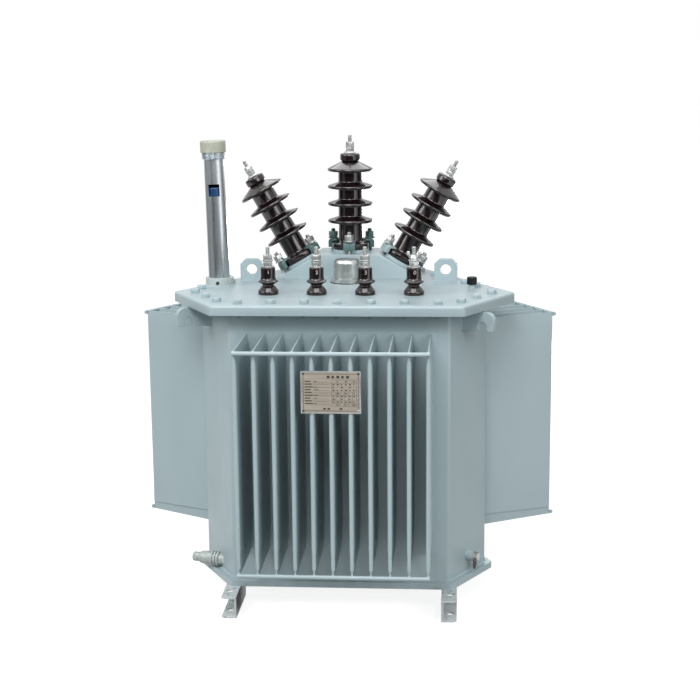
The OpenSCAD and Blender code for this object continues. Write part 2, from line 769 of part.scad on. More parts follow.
module valve_body() {
    r = valve_body_r;
    h = valve_height;
    foot = valve_flange_height;
    neck = r - valve_groove_depth;
    top_r = r - valve_bevel_width;
    dish_r = top_r - valve_rim;
    ball_r = (dish_r * dish_r + valve_dish * valve_dish) / (2 * valve_dish);
    color(zinc) at_valve() difference() {
        rotate_extrude() polygon([[0, foot], [neck, foot], [neck, foot + valve_groove_height],
                                  [r, foot + valve_groove_height], [r, h - valve_bevel_height],
                                  [top_r, h], [0, h]]);
        translate([0, 0, h - valve_dish + ball_r]) sphere(r = ball_r);
    }
}

module at_pocket() {
    on_side(30, long_d + cover_overhang - pocket_edge_gap) translate([pocket_along, 0, cover_z]) children();
}

module pocket_stub() {
    color(paint) at_pocket() cylinder(h = pocket_height, r = pocket_r);
}

module pocket_cap() {
    r = pocket_cap_round;
    color([0.05, 0.05, 0.05]) at_pocket() translate([0, 0, pocket_height]) rotate_extrude()
        polygon(concat([[0, 0], [pocket_cap_r, 0]],
            arc([pocket_cap_r - r, pocket_cap_height - r], r, 0, 90, curve_steps),
            [[0, pocket_cap_height]]));
}

module lifting_lug(side) {
    w = lug_width / 2;
    h = lug_height;
    c = lug_corner_cut;
    color(paint) on_axis()
        translate([side * (tank_long_side / 2 - lug_inset), lug_back + lug_thickness / 2, cover_z])
            rotate([90, 0, 0]) linear_extrude(lug_thickness) difference() {
                polygon([[-w, 0], [w, 0], [w, h - c], [w - c, h], [c - w, h], [-w, h - c]]);
                translate([0, lug_hole_height]) circle(d = lug_hole_d);
            }
}

module lifting_lug_left() { lifting_lug(-1); }
module lifting_lug_right() { lifting_lug(1); }

// Tank fittings

module tank_hook(a) {
    top = cover_z - cover_edge - hook_clearance;
    e = hook_reach;
    notch = [e - hook_notch_inset, top - hook_notch_drop];
    mouth = top - hook_mouth_drop;
    color(paint) on_side(a, short_d) translate([hook_offset - hook_thickness / 2, 0, 0]) rotate([90, 0, 90])
        linear_extrude(hook_thickness)
            polygon(concat([[0, top - hook_height], [0, top]],
                arc([e - hook_round, top - hook_round], hook_round, 90, 0),
                [[e - hook_nose, mouth], [notch.x + hook_notch_r, mouth]],
                arc(notch, hook_notch_r, 0, 180),
                [[notch.x - hook_notch_r, mouth]]));
}

module tank_hook_left() { tank_hook(210); }
module tank_hook_right() { tank_hook(-30); }
module tank_hook_rear() { tank_hook(90); }

// Drain valve, slanting out of the left side and cut off flush with the wall

module along_drain() {
    on_side(210, short_d) translate([0, 0, wall_z + drain_height])
        rotate([0, 0, -drain_turn]) rotate([-90, 0, 0]) children();
}

module drain_valve() {
    n = drain_body_r - drain_taper;
    bulge = drain_body_length / 3;
    span = 4 * drain_ring_r;
    ring = drain_ring_width;
    color(paint) intersection() {
        along_drain() rotate_extrude()
            polygon(concat([[0, -drain_ring_r], [n, -drain_ring_r]],
                [for (k = [0 : 2]) let (z = drain_ring_first + k * drain_ring_pitch)
                    each [[n, z], [drain_ring_r, z], [drain_ring_r, z + ring], [n, z + ring]]],
                [[drain_body_r, drain_body_start + bulge], [drain_body_r, drain_cap_start - bulge],
                 [n, drain_cap_start], [0, drain_cap_start]]));
        on_side(210, short_d) translate([-span, 0, wall_z + drain_height - span / 2])
            cube([2 * span, drain_cap_start, span]);
    }
}

module drain_cap() {
    r = drain_cap_r;
    h = drain_cap_length;
    color(paint) along_drain() translate([0, 0, drain_cap_start]) rotate_extrude()
        polygon([[0, 0], [r, 0], [r, h - drain_taper], [r - drain_taper, h], [0, h]]);
}

module at_earth() {
    on_side(-30, short_d) translate([0, 0, wall_z + earth_height]) rotate([-90, 0, 0]) children();
}

module earth_boss() {
    color(paint) at_earth() cylinder(h = earth_boss_length, r = earth_boss_r);
}

module earth_bolt() {
    color(zinc) at_earth() translate([0, 0, earth_boss_length]) {
        cylinder(h = earth_washer_height, r = earth_washer_r);
        translate([0, 0, earth_washer_height]) cylinder(h = earth_head_height, r = earth_head_r, $fn = 6);
    }
}

module nameplate() {
    color([0.72, 0.68, 0.58]) on_side(-90, long_d + fin_depth + touch)
        translate([-plate_width / 2, 0, fin_top - plate_drop - plate_height])
            cube([plate_width, plate_thickness, plate_height]);
}

tank_body();
base_plate();
tank_flange();
cover();
front_fin_bank();
right_fin_bank();
left_fin_bank();
front_fin_rods();
right_fin_rods();
left_fin_rods();
foot_front_left();
foot_front_right();
foot_rear_left();
foot_rear_right();
hv_turret();
hv_seat_rings();
hv_bushing_left();
hv_bushing_centre();
hv_bushing_right();
hv_terminals();
hv_clamps();
lv_bushing_1();
lv_bushing_2();
lv_bushing_3();
lv_bushing_4();
lv_terminals();
gauge_flange();
gauge_tube();
gauge_float();
gauge_cap();
valve_flange();
valve_body();
pocket_stub();
pocket_cap();
lifting_lug_left();
lifting_lug_right();
tank_hook_left();
tank_hook_right();
tank_hook_rear();
drain_valve();
drain_cap();
earth_boss();
earth_bolt();
nameplate();
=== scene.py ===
import bmesh
import bpy
import json
from math import atan2, cos, degrees, pi, radians, sin, sqrt, tan
from mathutils import Matrix, Vector

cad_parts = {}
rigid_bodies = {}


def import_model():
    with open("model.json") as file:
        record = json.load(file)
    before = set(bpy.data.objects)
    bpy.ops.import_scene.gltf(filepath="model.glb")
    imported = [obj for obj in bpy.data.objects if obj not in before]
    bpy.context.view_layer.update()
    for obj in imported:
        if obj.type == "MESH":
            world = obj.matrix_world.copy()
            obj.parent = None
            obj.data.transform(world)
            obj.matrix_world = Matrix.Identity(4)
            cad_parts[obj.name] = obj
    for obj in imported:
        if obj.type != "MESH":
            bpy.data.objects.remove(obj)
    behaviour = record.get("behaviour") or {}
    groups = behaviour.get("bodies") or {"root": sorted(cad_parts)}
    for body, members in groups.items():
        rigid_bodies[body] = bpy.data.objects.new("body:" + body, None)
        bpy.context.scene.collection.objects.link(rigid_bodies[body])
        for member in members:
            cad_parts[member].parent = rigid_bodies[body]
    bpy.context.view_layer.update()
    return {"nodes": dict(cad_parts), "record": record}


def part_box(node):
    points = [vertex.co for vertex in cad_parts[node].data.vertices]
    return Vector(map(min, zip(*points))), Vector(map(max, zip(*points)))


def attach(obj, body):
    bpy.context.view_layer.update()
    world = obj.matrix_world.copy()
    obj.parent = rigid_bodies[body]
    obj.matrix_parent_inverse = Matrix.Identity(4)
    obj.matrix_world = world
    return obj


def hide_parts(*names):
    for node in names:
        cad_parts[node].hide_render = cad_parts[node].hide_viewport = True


# Dresses an oil-filled distribution transformer: finishes, fasteners, threads, welds, plate and light.

for leftover in list(bpy.data.objects):
    bpy.data.objects.remove(leftover)
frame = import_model()
nodes = frame["nodes"]
mounts = {m["name"]: m for m in frame["record"]["mounts"]}
print("frame:", len(nodes), "nodes")

# The tank's plan, in metres: three finned sides and three plain ones round one axis
tankPlan = dict(longSide=0.543, shortSide=0.184, overhang=0.061)
root3 = sqrt(3)
longDist = (tankPlan["longSide"] + 2 * tankPlan["shortSide"]) / (2 * root3)
shortDist = (2 * tankPlan["longSide"] + tankPlan["shortSide"]) / (2 * root3)
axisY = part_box("tank_body")[0].y + longDist
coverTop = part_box("cover")[1].z
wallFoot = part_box("tank_body")[0].z
finnedSides = dict(front=-90, right=30, left=150)
plainSides = dict(right=-30, left=210, rear=90)

fullTurn = 2 * pi
tinyGap = 0.000002   # points closer than this are one
nearly = 0.0001      # heights closer than this are level


# Finishes: tint, roughness and relief each start with a grain of repeats per metre, stretch and detail

even = (1, 1, 1)
finishLooks = dict(
    tankPaint=dict(
        slot="tank_paint", base=(0.39, 0.488, 0.515), rough=0.4, specular=0.4,
        tint=((5, (1, 1, 0.45), 5), (0.375, 0.472, 0.5), (0.405, 0.504, 0.53)),
        roughen=((22, even, 4), 0.33, 0.47), emboss=((420, even, 2), 0.1, 0.0006)),   # orange peel
    brownPorcelain=dict(
        slot="brown_porcelain", base=(0.009, 0.0045, 0.005), rough=0.12, specular=0.7,
        tint=((26, (1, 1, 0.6), 4), (0.006, 0.003, 0.0036), (0.014, 0.0055, 0.0062)),
        roughen=((60,), 0.1, 0.2), emboss=((110, even, 1), 0.02, 0.0008)),   # slow waves in the glaze
    zincSteel=dict(
        slot="zinc_steel", base=(0.44, 0.455, 0.45), rough=0.44, metal=1.0,
        tint=((240, even, 4), (0.36, 0.375, 0.375), (0.53, 0.54, 0.53)),
        roughen=((330,), 0.36, 0.56), emboss=((700,), 0.12, 0.0003)),
    clampPaint=dict(
        slot="clamp_paint", base=(0.085, 0.155, 0.152), rough=0.45,
        tint=((60, even, 5), (0.062, 0.125, 0.124), (0.11, 0.185, 0.18)),
        roughen=((90,), 0.36, 0.56), emboss=((260,), 0.25, 0.0006)),   # cast skin under the paint
    gaugeMetal=dict(
        slot="gauge_metal", base=(0.53, 0.575, 0.6), rough=0.3, metal=1.0,
        tint=((60, (1, 1, 0.02), 3), (0.47, 0.515, 0.545), (0.59, 0.63, 0.655)),
        roughen=((160, (1, 1, 0.03), 4), 0.25, 0.36),
        emboss=((500, (1, 1, 0.012), 3), 0.03, 0.0001)),   # drawing marks along the tube
    floatPlastic=dict(
        slot="float_plastic", base=(0.004, 0.04, 0.12), rough=0.3,
        tint=((70,), (0.003, 0.032, 0.1), (0.005, 0.048, 0.14))),
    capPlastic=dict(
        slot="cap_plastic", base=(0.4, 0.42, 0.345), rough=0.5,
        tint=((45, even, 4), (0.365, 0.385, 0.31), (0.435, 0.455, 0.38)),
        emboss=((620,), 0.15, 0.0003)),
    valveAlloy=dict(
        slot="valve_alloy", base=(0.48, 0.5, 0.49), rough=0.32, metal=0.9,
        tint=((55, even, 5), (0.42, 0.44, 0.435), (0.54, 0.56, 0.55)),
        roughen=((120,), 0.26, 0.4), emboss=((380,), 0.15, 0.0005)),   # cast skin
    capRubber=dict(
        slot="cap_rubber", base=(0.008, 0.01, 0.01), rough=0.45, specular=0.2,
        tint=((80,), (0.005, 0.007, 0.007), (0.012, 0.014, 0.014)),
        emboss=((700,), 0.2, 0.0003)),
    plateMetal=dict(
        slot="plate_metal", base=(0.4, 0.355, 0.29), rough=0.42, metal=0.25,
        tint=((60, (0.1, 1, 2.5), 5), (0.355, 0.31, 0.25), (0.445, 0.4, 0.335)),
        roughen=((200, (0.05, 1, 3), 3), 0.34, 0.52)),
    plateInk=dict(
        base=(0.035, 0.033, 0.032), rough=0.5,
        tint=((300,), (0.025, 0.024, 0.024), (0.06, 0.056, 0.052))),
    numeralPaint=dict(
        base=(0.62, 0.6, 0.58), rough=0.45,
        tint=((300,), (0.5, 0.47, 0.46), (0.7, 0.68, 0.66))),
    earthPaint=dict(
        base=(0.04, 0.005, 0.009), rough=0.6, specular=0.25,
        tint=((120,), (0.03, 0.004, 0.007), (0.055, 0.007, 0.011))),
    darkScrewSteel=dict(
        base=(0.05, 0.052, 0.052), rough=0.38, metal=0.8,
        tint=((300,), (0.03, 0.032, 0.032), (0.09, 0.092, 0.09))),
    flangePaint=dict(
        base=(0.47, 0.525, 0.525), rough=0.45,
        tint=((40, even, 4), (0.44, 0.495, 0.495), (0.5, 0.555, 0.555)),
        emboss=((420, even, 2), 0.12, 0.0005)),
    drainMetal=dict(
        base=(0.42, 0.47, 0.45), rough=0.5, metal=0.15,
        tint=((130, even, 5), (0.34, 0.39, 0.375), (0.52, 0.565, 0.54)),
        roughen=((200,), 0.4, 0.62), emboss=((300, even, 4), 0.3, 0.0006)),   # rough casting
    footPaint=dict(
        base=(0.54, 0.59, 0.595), rough=0.5,
        tint=((85, even, 6), (0.18, 0.2, 0.2), (0.56, 0.61, 0.615), 0.3, 0.42),   # scuffs
        roughen=((60, even, 4), 0.42, 0.6), emboss=((420, even, 2), 0.12, 0.0006)),
)
grainSpan = (0.3, 0.7)   # the noise values that reach the ends of the roughness


def grain(tree, scale, stretch=even, detail=3.0):
    # soft noise on object coordinates
    place = tree.nodes.new("ShaderNodeTexCoord")
    mapping = tree.nodes.new("ShaderNodeMapping")
    mapping.inputs["Scale"].default_value = stretch
    pattern = tree.nodes.new("ShaderNodeTexNoise")
    pattern.inputs["Scale"].default_value = scale
    pattern.inputs["Detail"].default_value = detail
    tree.links.new(place.outputs["Object"], mapping.inputs["Vector"])
    tree.links.new(mapping.outputs["Vector"], pattern.inputs["Vector"])
    return pattern.outputs[0]


def tint(tree, shader, source, dark, light, low=0.35, high=0.65):
    ramp = tree.nodes.new("ShaderNodeValToRGB")
    for stop, position, colour in zip(ramp.color_ramp.elements, (low, high), (dark, light)):
        stop.position = position
        stop.color = (*colour, 1)
    tree.links.new(source, ramp.inputs["Fac"])
    tree.links.new(ramp.outputs["Color"], shader.inputs["Base Color"])


def roughen(tree, shader, source, low, high):
    span = tree.nodes.new("ShaderNodeMapRange")
    for name, amount in zip(("From Min", "From Max", "To Min", "To Max"), (*grainSpan, low, high)):
        span.inputs[name].default_value = amount
    tree.links.new(source, span.inputs["Value"])
    tree.links.new(span.outputs["Result"], shader.inputs["Roughness"])


def emboss(tree, shader, source, strength, distance):
    bump = tree.nodes.new("ShaderNodeBump")
    bump.inputs["Strength"].default_value = strength
    bump.inputs["Distance"].default_value = distance
    tree.links.new(source, bump.inputs["Height"])
    tree.links.new(bump.outputs["Normal"], shader.inputs["Normal"])


def makeFinish(name, look):
    finish = bpy.data.materials.new(name)
    finish.use_nodes = True
    tree = finish.node_tree
    shader = tree.nodes["Principled BSDF"]
    shader.inputs["Base Color"].default_value = (*look["base"], 1)
    shader.inputs["Roughness"].default_value = look["rough"]
    shader.inputs["Metallic"].default_value = look.get("metal", 0.0)
    shader.inputs["Specular IOR Level"].default_value = look.get("specular", 0.5)
    for key, apply in (("tint", tint), ("roughen", roughen), ("emboss", emboss)):
        if key in look:
            pattern, *amounts = look[key]
            apply(tree, shader, grain(tree, *pattern), *amounts)
    return finish


finishes = {look.get("slot", name): makeFinish(name, look) for name, look in finishLooks.items()}
print("finishes:", len(finishes))


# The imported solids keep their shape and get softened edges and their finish

softLook = dict(limit=50, merge=0.00001, segments=2)
edgeWidths = dict(   # by what is in a node's name, the rest stay sharp
    base_plate=0.0015, tank_flange=0.001, hv_turret=0.0025, hv_seat_rings=0.001,
    gauge_flange=0.0015, gauge_cap=0.0008, valve_flange=0.0042, valve_body=0.0014,
    pocket_stub=0.0008, pocket_cap=0.001, lifting_lug=0.0015, tank_hook=0.0018,
    drain_valve=0.0009, drain_cap=0.0009, earth_boss=0.0012, earth_bolt=0.0008,
    nameplate=0.0004, foot=0.0012, fin_bank=0.0006,
)
ownFinishes = dict(gauge_flange="flangePaint", drain="drainMetal", foot="footPaint")


def tidyNormals():
    # joins the loose triangles, drops their stored normals and shades by edge angle
    group = bpy.data.node_groups.new("tidyNormals", "GeometryNodeTree")
    add = group.nodes.new
    for way in ("INPUT", "OUTPUT"):
        group.interface.new_socket("Geometry", in_out=way, socket_type="NodeSocketGeometry")
    start = add("NodeGroupInput")
    merge = add("GeometryNodeMergeByDistance")
    merge.inputs["Distance"].default_value = softLook["merge"]
    clear = add("GeometryNodeRemoveAttribute")
    clear.inputs["Name"].default_value = "custom_normal"
    bend = add("GeometryNodeInputMeshEdgeAngle")
    gentle = add("FunctionNodeCompare")
    gentle.operation = "LESS_THAN"
    gentle.inputs[1].default_value = radians(softLook["limit"])
    faces = add("GeometryNodeSetShadeSmooth")
    faces.domain = "FACE"
    edges = add("GeometryNodeSetShadeSmooth")
    edges.domain = "EDGE"
    end = add("NodeGroupOutput")
    chain = [start, merge, clear, faces, edges, end]
    for a, b in zip(chain, chain[1:]):
        group.links.new(a.outputs[0], b.inputs[0])
    group.links.new(bend.outputs["Unsigned Angle"], gentle.inputs[0])
    group.links.new(gentle.outputs[0], edges.inputs["Shade Smooth"])
    return group


def byKind(table, node, otherwise):
    return next((value for kind, value in table.items() if kind in node), otherwise)


def keepFlats(piece):
    flats = piece.modifiers.new("flats", "WEIGHTED_NORMAL")
    flats.keep_sharp = True


def dress(piece, width):
    joined = piece.modifiers.new("joined", "NODES")
    joined.node_group = shading
    if width:
        edges = piece.modifiers.new("softEdges", "BEVEL")
        edges.width = width
        edges.segments = softLook["segments"]
        edges.limit_method = "ANGLE"
        edges.angle_limit = radians(softLook["limit"])
    keepFlats(piece)


shading = tidyNormals()
for part in frame["record"]["subparts"]:
    node = part["node"]
    dress(nodes[node], byKind(edgeWidths, node, 0.0))
    for holder in nodes[node].material_slots:
        holder.material = finishes[byKind(ownFinishes, node, part["material_slot"])]
print("solids dressed")


# Small makers

def shift(x, y, z):
    return Matrix.Translation((x, y, z))


def lift(height):
    return shift(0, 0, height)


def turned(degrees, axis="Z"):
    return Matrix.Rotation(radians(degrees), 4, axis)


def twist(amount):
    return Matrix.Rotation(amount, 4, "Z")


def sidePlace(angle, along, out, height):
    # x runs along a side of the tank, y points out of it
    return shift(0, axisY, 0) @ turned(angle - 90) @ shift(along, out, height)


def onCover(node):
    # the spot on the cover under the middle of a round node, and the node's radius
    low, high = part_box(node)
    middle = (low + high) / 2
    return shift(middle.x, middle.y, coverTop), (high.x - low.x) / 2


def cleaned(bm):
    bmesh.ops.remove_doubles(bm, verts=bm.verts, dist=tinyGap)
    bmesh.ops.recalc_face_normals(bm, faces=bm.faces)
    return bm


def asShape(bm):
    shape = bpy.data.meshes.new("shape")
    cleaned(bm).to_mesh(shape)
    bm.free()
    return shape


def stamp(bm, shape, place):
    copy = shape.copy()
    copy.transform(place)
    bm.from_mesh(copy)
    bpy.data.meshes.remove(copy)


def stack(bm, place, *parts):
    for shape, offset in parts:
        stamp(bm, shape, place @ offset)


def placed(shape, place):
    bm = bmesh.new()
    stamp(bm, shape, place)
    return bm


def intoScene(name, data):
    holder = bpy.data.objects.new(name, data)
    bpy.context.scene.collection.objects.link(holder)
    return holder


def linked(name, bm, finish):
    mesh = bpy.data.meshes.new(name)
    bm.to_mesh(mesh)
    bm.free()
    mesh.materials.append(finish)
    return intoScene(name, mesh)


def newPiece(name, bm, slot, finish=None, sharp=40, replaced=()):
    piece = linked(name, bm, finishes[finish or slot])
    piece.data.shade_smooth()
    piece.data.set_sharp_from_angle(angle=radians(sharp))
    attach(piece, "root")
    if replaced:
        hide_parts(*replaced)
    print("piece:", name, len(piece.data.polygons), "faces")
    return piece


def giveWall(piece, thickness):
    wall = piece.modifiers.new("wall", "SOLIDIFY")
    wall.thickness = thickness
    wall.offset = -1
    keepFlats(piece)


def newVerts(made):
    return [v for v in made["geom"] if isinstance(v, bmesh.types.BMVert)]


def reach(edge, axis):
    return abs(edge.verts[0].co[axis] - edge.verts[1].co[axis])


def roundEdges(bm, edges, offset, segments=2):
    bmesh.ops.bevel(bm, geom=edges, offset=offset, affect="EDGES", segments=segments,
                    profile=0.5, material=-1)


def sliced(bm, point, normal, **more):
    return bmesh.ops.bisect_plane(bm, geom=bm.verts[:] + bm.edges[:] + bm.faces[:], dist=tinyGap / 2,
                                  plane_co=point, plane_no=normal, **more)


def arcPoints(r, z, radius, start, end, steps=5):
    angles = [radians(start + (end - start) * k / steps) for k in range(steps + 1)]
    return [(r + radius * cos(a), z + radius * sin(a)) for a in angles]


def spun(profile, steps, angle=fullTurn, start=0.0, **more):
    # sweeps an outline of radius and height round the upright axis
    bm = bmesh.new()
    line = [bm.verts.new((r * cos(start), r * sin(start), z)) for r, z in profile]
    edges = [bm.edges.new(pair) for pair in zip(line, line[1:])]
    bmesh.ops.spin(bm, geom=line + edges, cent=(0, 0, 0), axis=(0, 0, 1), angle=angle, steps=steps, **more)
    return bm


def lathe(profile, steps):
    return asShape(spun(profile, steps, use_merge=True))


def pulled(outline, start, travel, soften=0.0, segments=2):
    # an outline of x and z, drawn at y = start and pulled along travel
    bm = bmesh.new()
    flat = bm.faces.new([bm.verts.new((x, start, z)) for x, z in outline])
    made = bmesh.ops.extrude_face_region(bm, geom=[flat])
    bmesh.ops.translate(bm, vec=travel, verts=newVerts(made))
    if soften:
        roundEdges(bm, [e for e in bm.edges if reach(e, 1) < nearly], soften, segments)
    return asShape(bm)


def block(size, soften):
    # a box on the ground plane, centred in plan
    bm = bmesh.new()
    bmesh.ops.create_cube(bm, size=1)
    bmesh.ops.scale(bm, vec=size, verts=bm.verts)
    bmesh.ops.translate(bm, vec=(0, 0, size[2] / 2), verts=bm.verts)
    roundEdges(bm, bm.edges[:], soften)
    return asShape(bm)


def hexNut(look):
    radius, height = look["nutR"], look["nutHeight"]
    bm = bmesh.new()
    bmesh.ops.create_cone(bm, cap_ends=True, segments=6, radius1=radius, radius2=radius, depth=height)
    roundEdges(bm, [e for e in bm.edges if reach(e, 2) < height / 2], look["nutChamfer"])
    bmesh.ops.translate(bm, vec=(0, 0, height / 2), verts=bm.verts)
    return asShape(bm)


def washer(radius, height):
    edge = height / 4
    return lathe([(0, 0), (radius - edge, 0), (radius, edge), (radius, height - edge),
                  (radius - edge, height), (0, height)], 32)


threadLook = dict(pitch=0.00175, depth=0.55, nose=0.0012, steps=20)   # depth in pitches


def threadedStud(radius, length, pitch=threadLook["pitch"]):
    # a toothed edge spun one turn while it climbs one pitch gives the whole thread
    steps = threadLook["steps"]
    nose = threadLook["nose"]
    core = radius - threadLook["depth"] * pitch
    teeth = []
    for k in range(int(length / pitch) + 3):
        teeth += [(radius, (k - 1.5) * pitch), (core, (k - 1) * pitch)]
    bm = spun(teeth, steps, dvec=(0, 0, pitch / steps))
    bmesh.ops.remove_doubles(bm, verts=bm.verts, dist=tinyGap)
    for height, up in ((0.0, -1), (length - nose, 1)):
        cut = sliced(bm, (0, 0, height), (0, 0, up), clear_outer=True)
        rim = [e for e in cut["geom_cut"] if isinstance(e, bmesh.types.BMEdge)]
        bmesh.ops.holes_fill(bm, edges=rim, sides=0)
    bmesh.ops.create_cone(bm, cap_ends=True, segments=steps, radius1=core, radius2=core - nose,
                          depth=nose, matrix=lift(length - nose / 2))
    return asShape(bm)


# Folded cover with a rounded edge

coverLook = dict(corner=0.014, fold=0.0062, sheet=0.005)


def coverCorners(out):
    half = tankPlan["longSide"] / 2 + out / root3
    return [shift(0, axisY, 0) @ turned(120 * k) @ Vector((s * half, -longDist - out, coverTop))
            for k in range(3) for s in (-1, 1)]


def foldedCover():
    bm = bmesh.new()
    top = bm.faces.new([bm.verts.new(corner) for corner in coverCorners(tankPlan["overhang"])])
    skirt = bmesh.ops.extrude_edge_only(bm, edges=top.edges[:])
    bmesh.ops.translate(bm, vec=(0, 0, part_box("cover")[0].z - coverTop), verts=newVerts(skirt))
    upright = [e for e in bm.edges if reach(e, 2) > nearly]
    roundEdges(bm, upright, coverLook["corner"] * tan(radians(30)), 5)
    folds = [e for e in bm.edges if min(v.co.z for v in e.verts) > coverTop - nearly]
    roundEdges(bm, folds, coverLook["fold"], 4)
    bmesh.ops.recalc_face_normals(bm, faces=bm.faces)
    cover = newPiece("foldedCover", bm, "tank_paint", sharp=60, replaced=["cover"])
    giveWall(cover, coverLook["sheet"])


foldedCover()


# Painted bolts round the cover, with their nuts under the flange

boltLook = dict(
    inset=0.039,            # from the cover's edge
    nutR=0.012, nutHeight=0.0088, nutChamfer=0.0015, washerR=0.0128, washerHeight=0.0016,
    studR=0.006, studLength=0.022, studBelow=0.018,
    turn=0.7,               # each head stops at its own angle
    finnedRows=dict(
        front=[k * 0.081 for k in range(-3, 4)],
        left=[-0.243, -0.1215, -0.0405, 0.0405, 0.1215, 0.2025],
        right=[-0.2025, -0.1215, -0.0405, 0.0405, 0.1215, 0.182],
    ),
    plainRow=[k * 0.076 for k in range(-1, 2)],
)


def coverBolts():
    b = boltLook
    head = hexNut(b)
    ring = washer(b["washerR"], b["washerHeight"])
    tail = threadedStud(b["studR"], b["studLength"])
    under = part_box("tank_flange")[0].z
    out = tankPlan["overhang"] - b["inset"]
    rows = [(finnedSides[name], longDist, row) for name, row in b["finnedRows"].items()]
    rows += [(angle, shortDist, b["plainRow"]) for angle in plainSides.values()]
    bm = bmesh.new()
    for angle, dist, row in rows:
        for k, along in enumerate(row):
            turn = twist(b["turn"] * k + angle)
            stack(bm, sidePlace(angle, along, dist + out, 0),
                  (ring, lift(coverTop)), (head, lift(coverTop + b["washerHeight"]) @ turn),
                  (ring, lift(under - b["washerHeight"])), (tail, lift(under - b["studBelow"])),
                  (head, lift(under - b["washerHeight"] - b["nutHeight"]) @ turn))
    newPiece("coverBolts", bm, "tank_paint")


coverBolts()


# High-voltage bushings: glazed porcelain, terminals and clamps

hvGlaze = dict(
    footR=0.0505, footHeight=0.016, footEdge=0.0022, footChamfer=0.001,
    collarR=0.0377, collarHeight=0.0197, neckR=0.0322, cove=0.0055,
    sheds=4, shedR=0.0612, rimR=0.0045,
    shedFirst=0.0713, shedPitch=0.046, shedRise=0.0064, shedCove=0.0042,
    topNeckR=0.0215, topNeck=((0.0025, -0.0022), (0, -0.0006), (0.001, 0)),   # from its radius and top
    headR=0.0267, headHeight=0.02, headRound=0.0058, headUnder=0.7, height=0.257,
)
hvLook = dict(
    seat=0.0085, tilt=30,
    ferruleR=0.017, ferruleHeight=0.006, ferruleEdge=0.001, ferruleWaist=0.0022, ferruleLip=0.0012,
    nutR=0.011, nutHeight=0.011, nutChamfer=0.0013, washerR=0.0125, washerHeight=0.003,
    studR=0.0055, studFree=0.018, turn=0.4, upperTurn=0.35,
)
clampLook = dict(
    nose=0.0375, noseLow=0.0283, footR=0.0505, footEdge=0.0247, legIn=0.0515, legOut=0.064,
    low=0.009, top=0.0327, shoulder=0.009, width=0.032, soften=0.0022,
    boltR=0.0575, studR=0.006, studTop=0.027, studPitch=0.002,
    nutR=0.0125, nutHeight=0.013, nutChamfer=0.0014, nutTurn=0.5,
    washerR=0.0138, washerHeight=0.003, springR=0.0112,
    pale=("right", 1),      # one casting keeps the tank's colour
    painted=(("centre", 1), ("centre", 2)),   # nuts under the castings' own paint
)
hvSides = dict(left=-1, centre=0, right=1)


def hvPlace(name):
    # origin on the turret under one bushing, z along it
    h = hvLook
    mount = mounts["hv_stud_" + name]
    rise = h["seat"] + hvGlaze["height"] + h["ferruleHeight"] + 2 * h["nutHeight"]
    rise += h["washerHeight"] + h["studFree"] / 2
    foot = Vector(mount["pos_m"]) - Vector(mount["axis"]) * rise
    return Matrix.Translation(foot) @ turned(h["tilt"] * hvSides[name], "Y")


def hvOutline():
    g = hvGlaze
    foot, neck, cove = g["footEdge"], g["neckR"], g["cove"]
    line = [(0, 0), (g["footR"] - g["footChamfer"], 0), (g["footR"], g["footChamfer"])]
    line += arcPoints(g["footR"] - foot, g["footHeight"] - foot, foot, 0, 75)
    line.append((g["collarR"], g["collarHeight"]))
    line += arcPoints(neck + cove, g["collarHeight"] + cove, cove, 260, 180)
    dip, rim = g["shedCove"], g["rimR"]
    for k in range(g["sheds"]):
        z = g["shedFirst"] + k * g["shedPitch"]
        line += arcPoints(neck + dip, z - dip, dip, 180, 90)              # under the shed
        line += arcPoints(g["shedR"] - rim, z + rim, rim, -90, 70, 8)     # thick glazed rim
        if k < g["sheds"] - 1:
            high = z + 2 * rim + g["shedRise"]
            line += arcPoints(neck + dip, high + dip, dip, 250, 180)      # back up to the neck
    low = g["height"] - g["headHeight"]
    line += [(g["topNeckR"] + r, low + z) for r, z in g["topNeck"]]
    curl = g["headRound"]
    small = curl * g["headUnder"]
    line += arcPoints(g["headR"] - small, low + small, small, -80, 0)
    line += arcPoints(g["headR"] - curl, g["height"] - curl, curl, 0, 90)
    return line + [(0, g["height"])]


def hvPorcelain():
    shape = lathe(hvOutline(), 72)
    for name in hvSides:
        newPiece("hvPorcelain_" + name, placed(shape, hvPlace(name) @ lift(hvLook["seat"])),
                 "brown_porcelain", sharp=60, replaced=["hv_bushing_" + name])


def hvTerminals():
    h = hvLook
    low, edge = h["ferruleHeight"], h["ferruleEdge"]
    ferrule = lathe([(0, 0), (h["ferruleR"] - edge, 0), (h["ferruleR"], edge),
                     (h["ferruleR"] - edge, h["ferruleWaist"]), (h["nutR"] + h["ferruleLip"], low),
                     (0, low)], 40)
    nut = hexNut(h)
    ring = washer(h["washerR"], h["washerHeight"])
    upper = low + h["nutHeight"] + h["washerHeight"]
    stud = threadedStud(h["studR"], upper + h["nutHeight"] + h["studFree"])
    bm = bmesh.new()
    for name, side in hvSides.items():
        stack(bm, hvPlace(name) @ lift(h["seat"] + hvGlaze["height"]) @ twist(h["turn"] + side),
              (ferrule, lift(0)), (nut, lift(low)), (ring, lift(low + h["nutHeight"])),
              (nut, lift(upper) @ twist(h["upperTurn"])), (stud, lift(0)))
    newPiece("hvTerminals", bm, "zinc_steel", replaced=["hv_terminals"])


def clampShape():
    c = clampLook
    outline = [(c["legIn"], c["low"]), (c["legOut"], c["low"])]
    outline += arcPoints(c["legOut"] - c["shoulder"], c["top"] - c["shoulder"], c["shoulder"], 0, 90, 6)
    outline += [(c["nose"], c["top"]), (c["nose"], c["noseLow"]),
                (c["footR"], c["footEdge"]), (c["legIn"], c["footEdge"])]
    return pulled(outline, -c["width"] / 2, (0, c["width"], 0), c["soften"], 3)


def clampPlaces():
    for name, side in hvSides.items():
        for k in range(3):
            yield name, k, hvPlace(name) @ turned((90 if side else -90) + 120 * k)


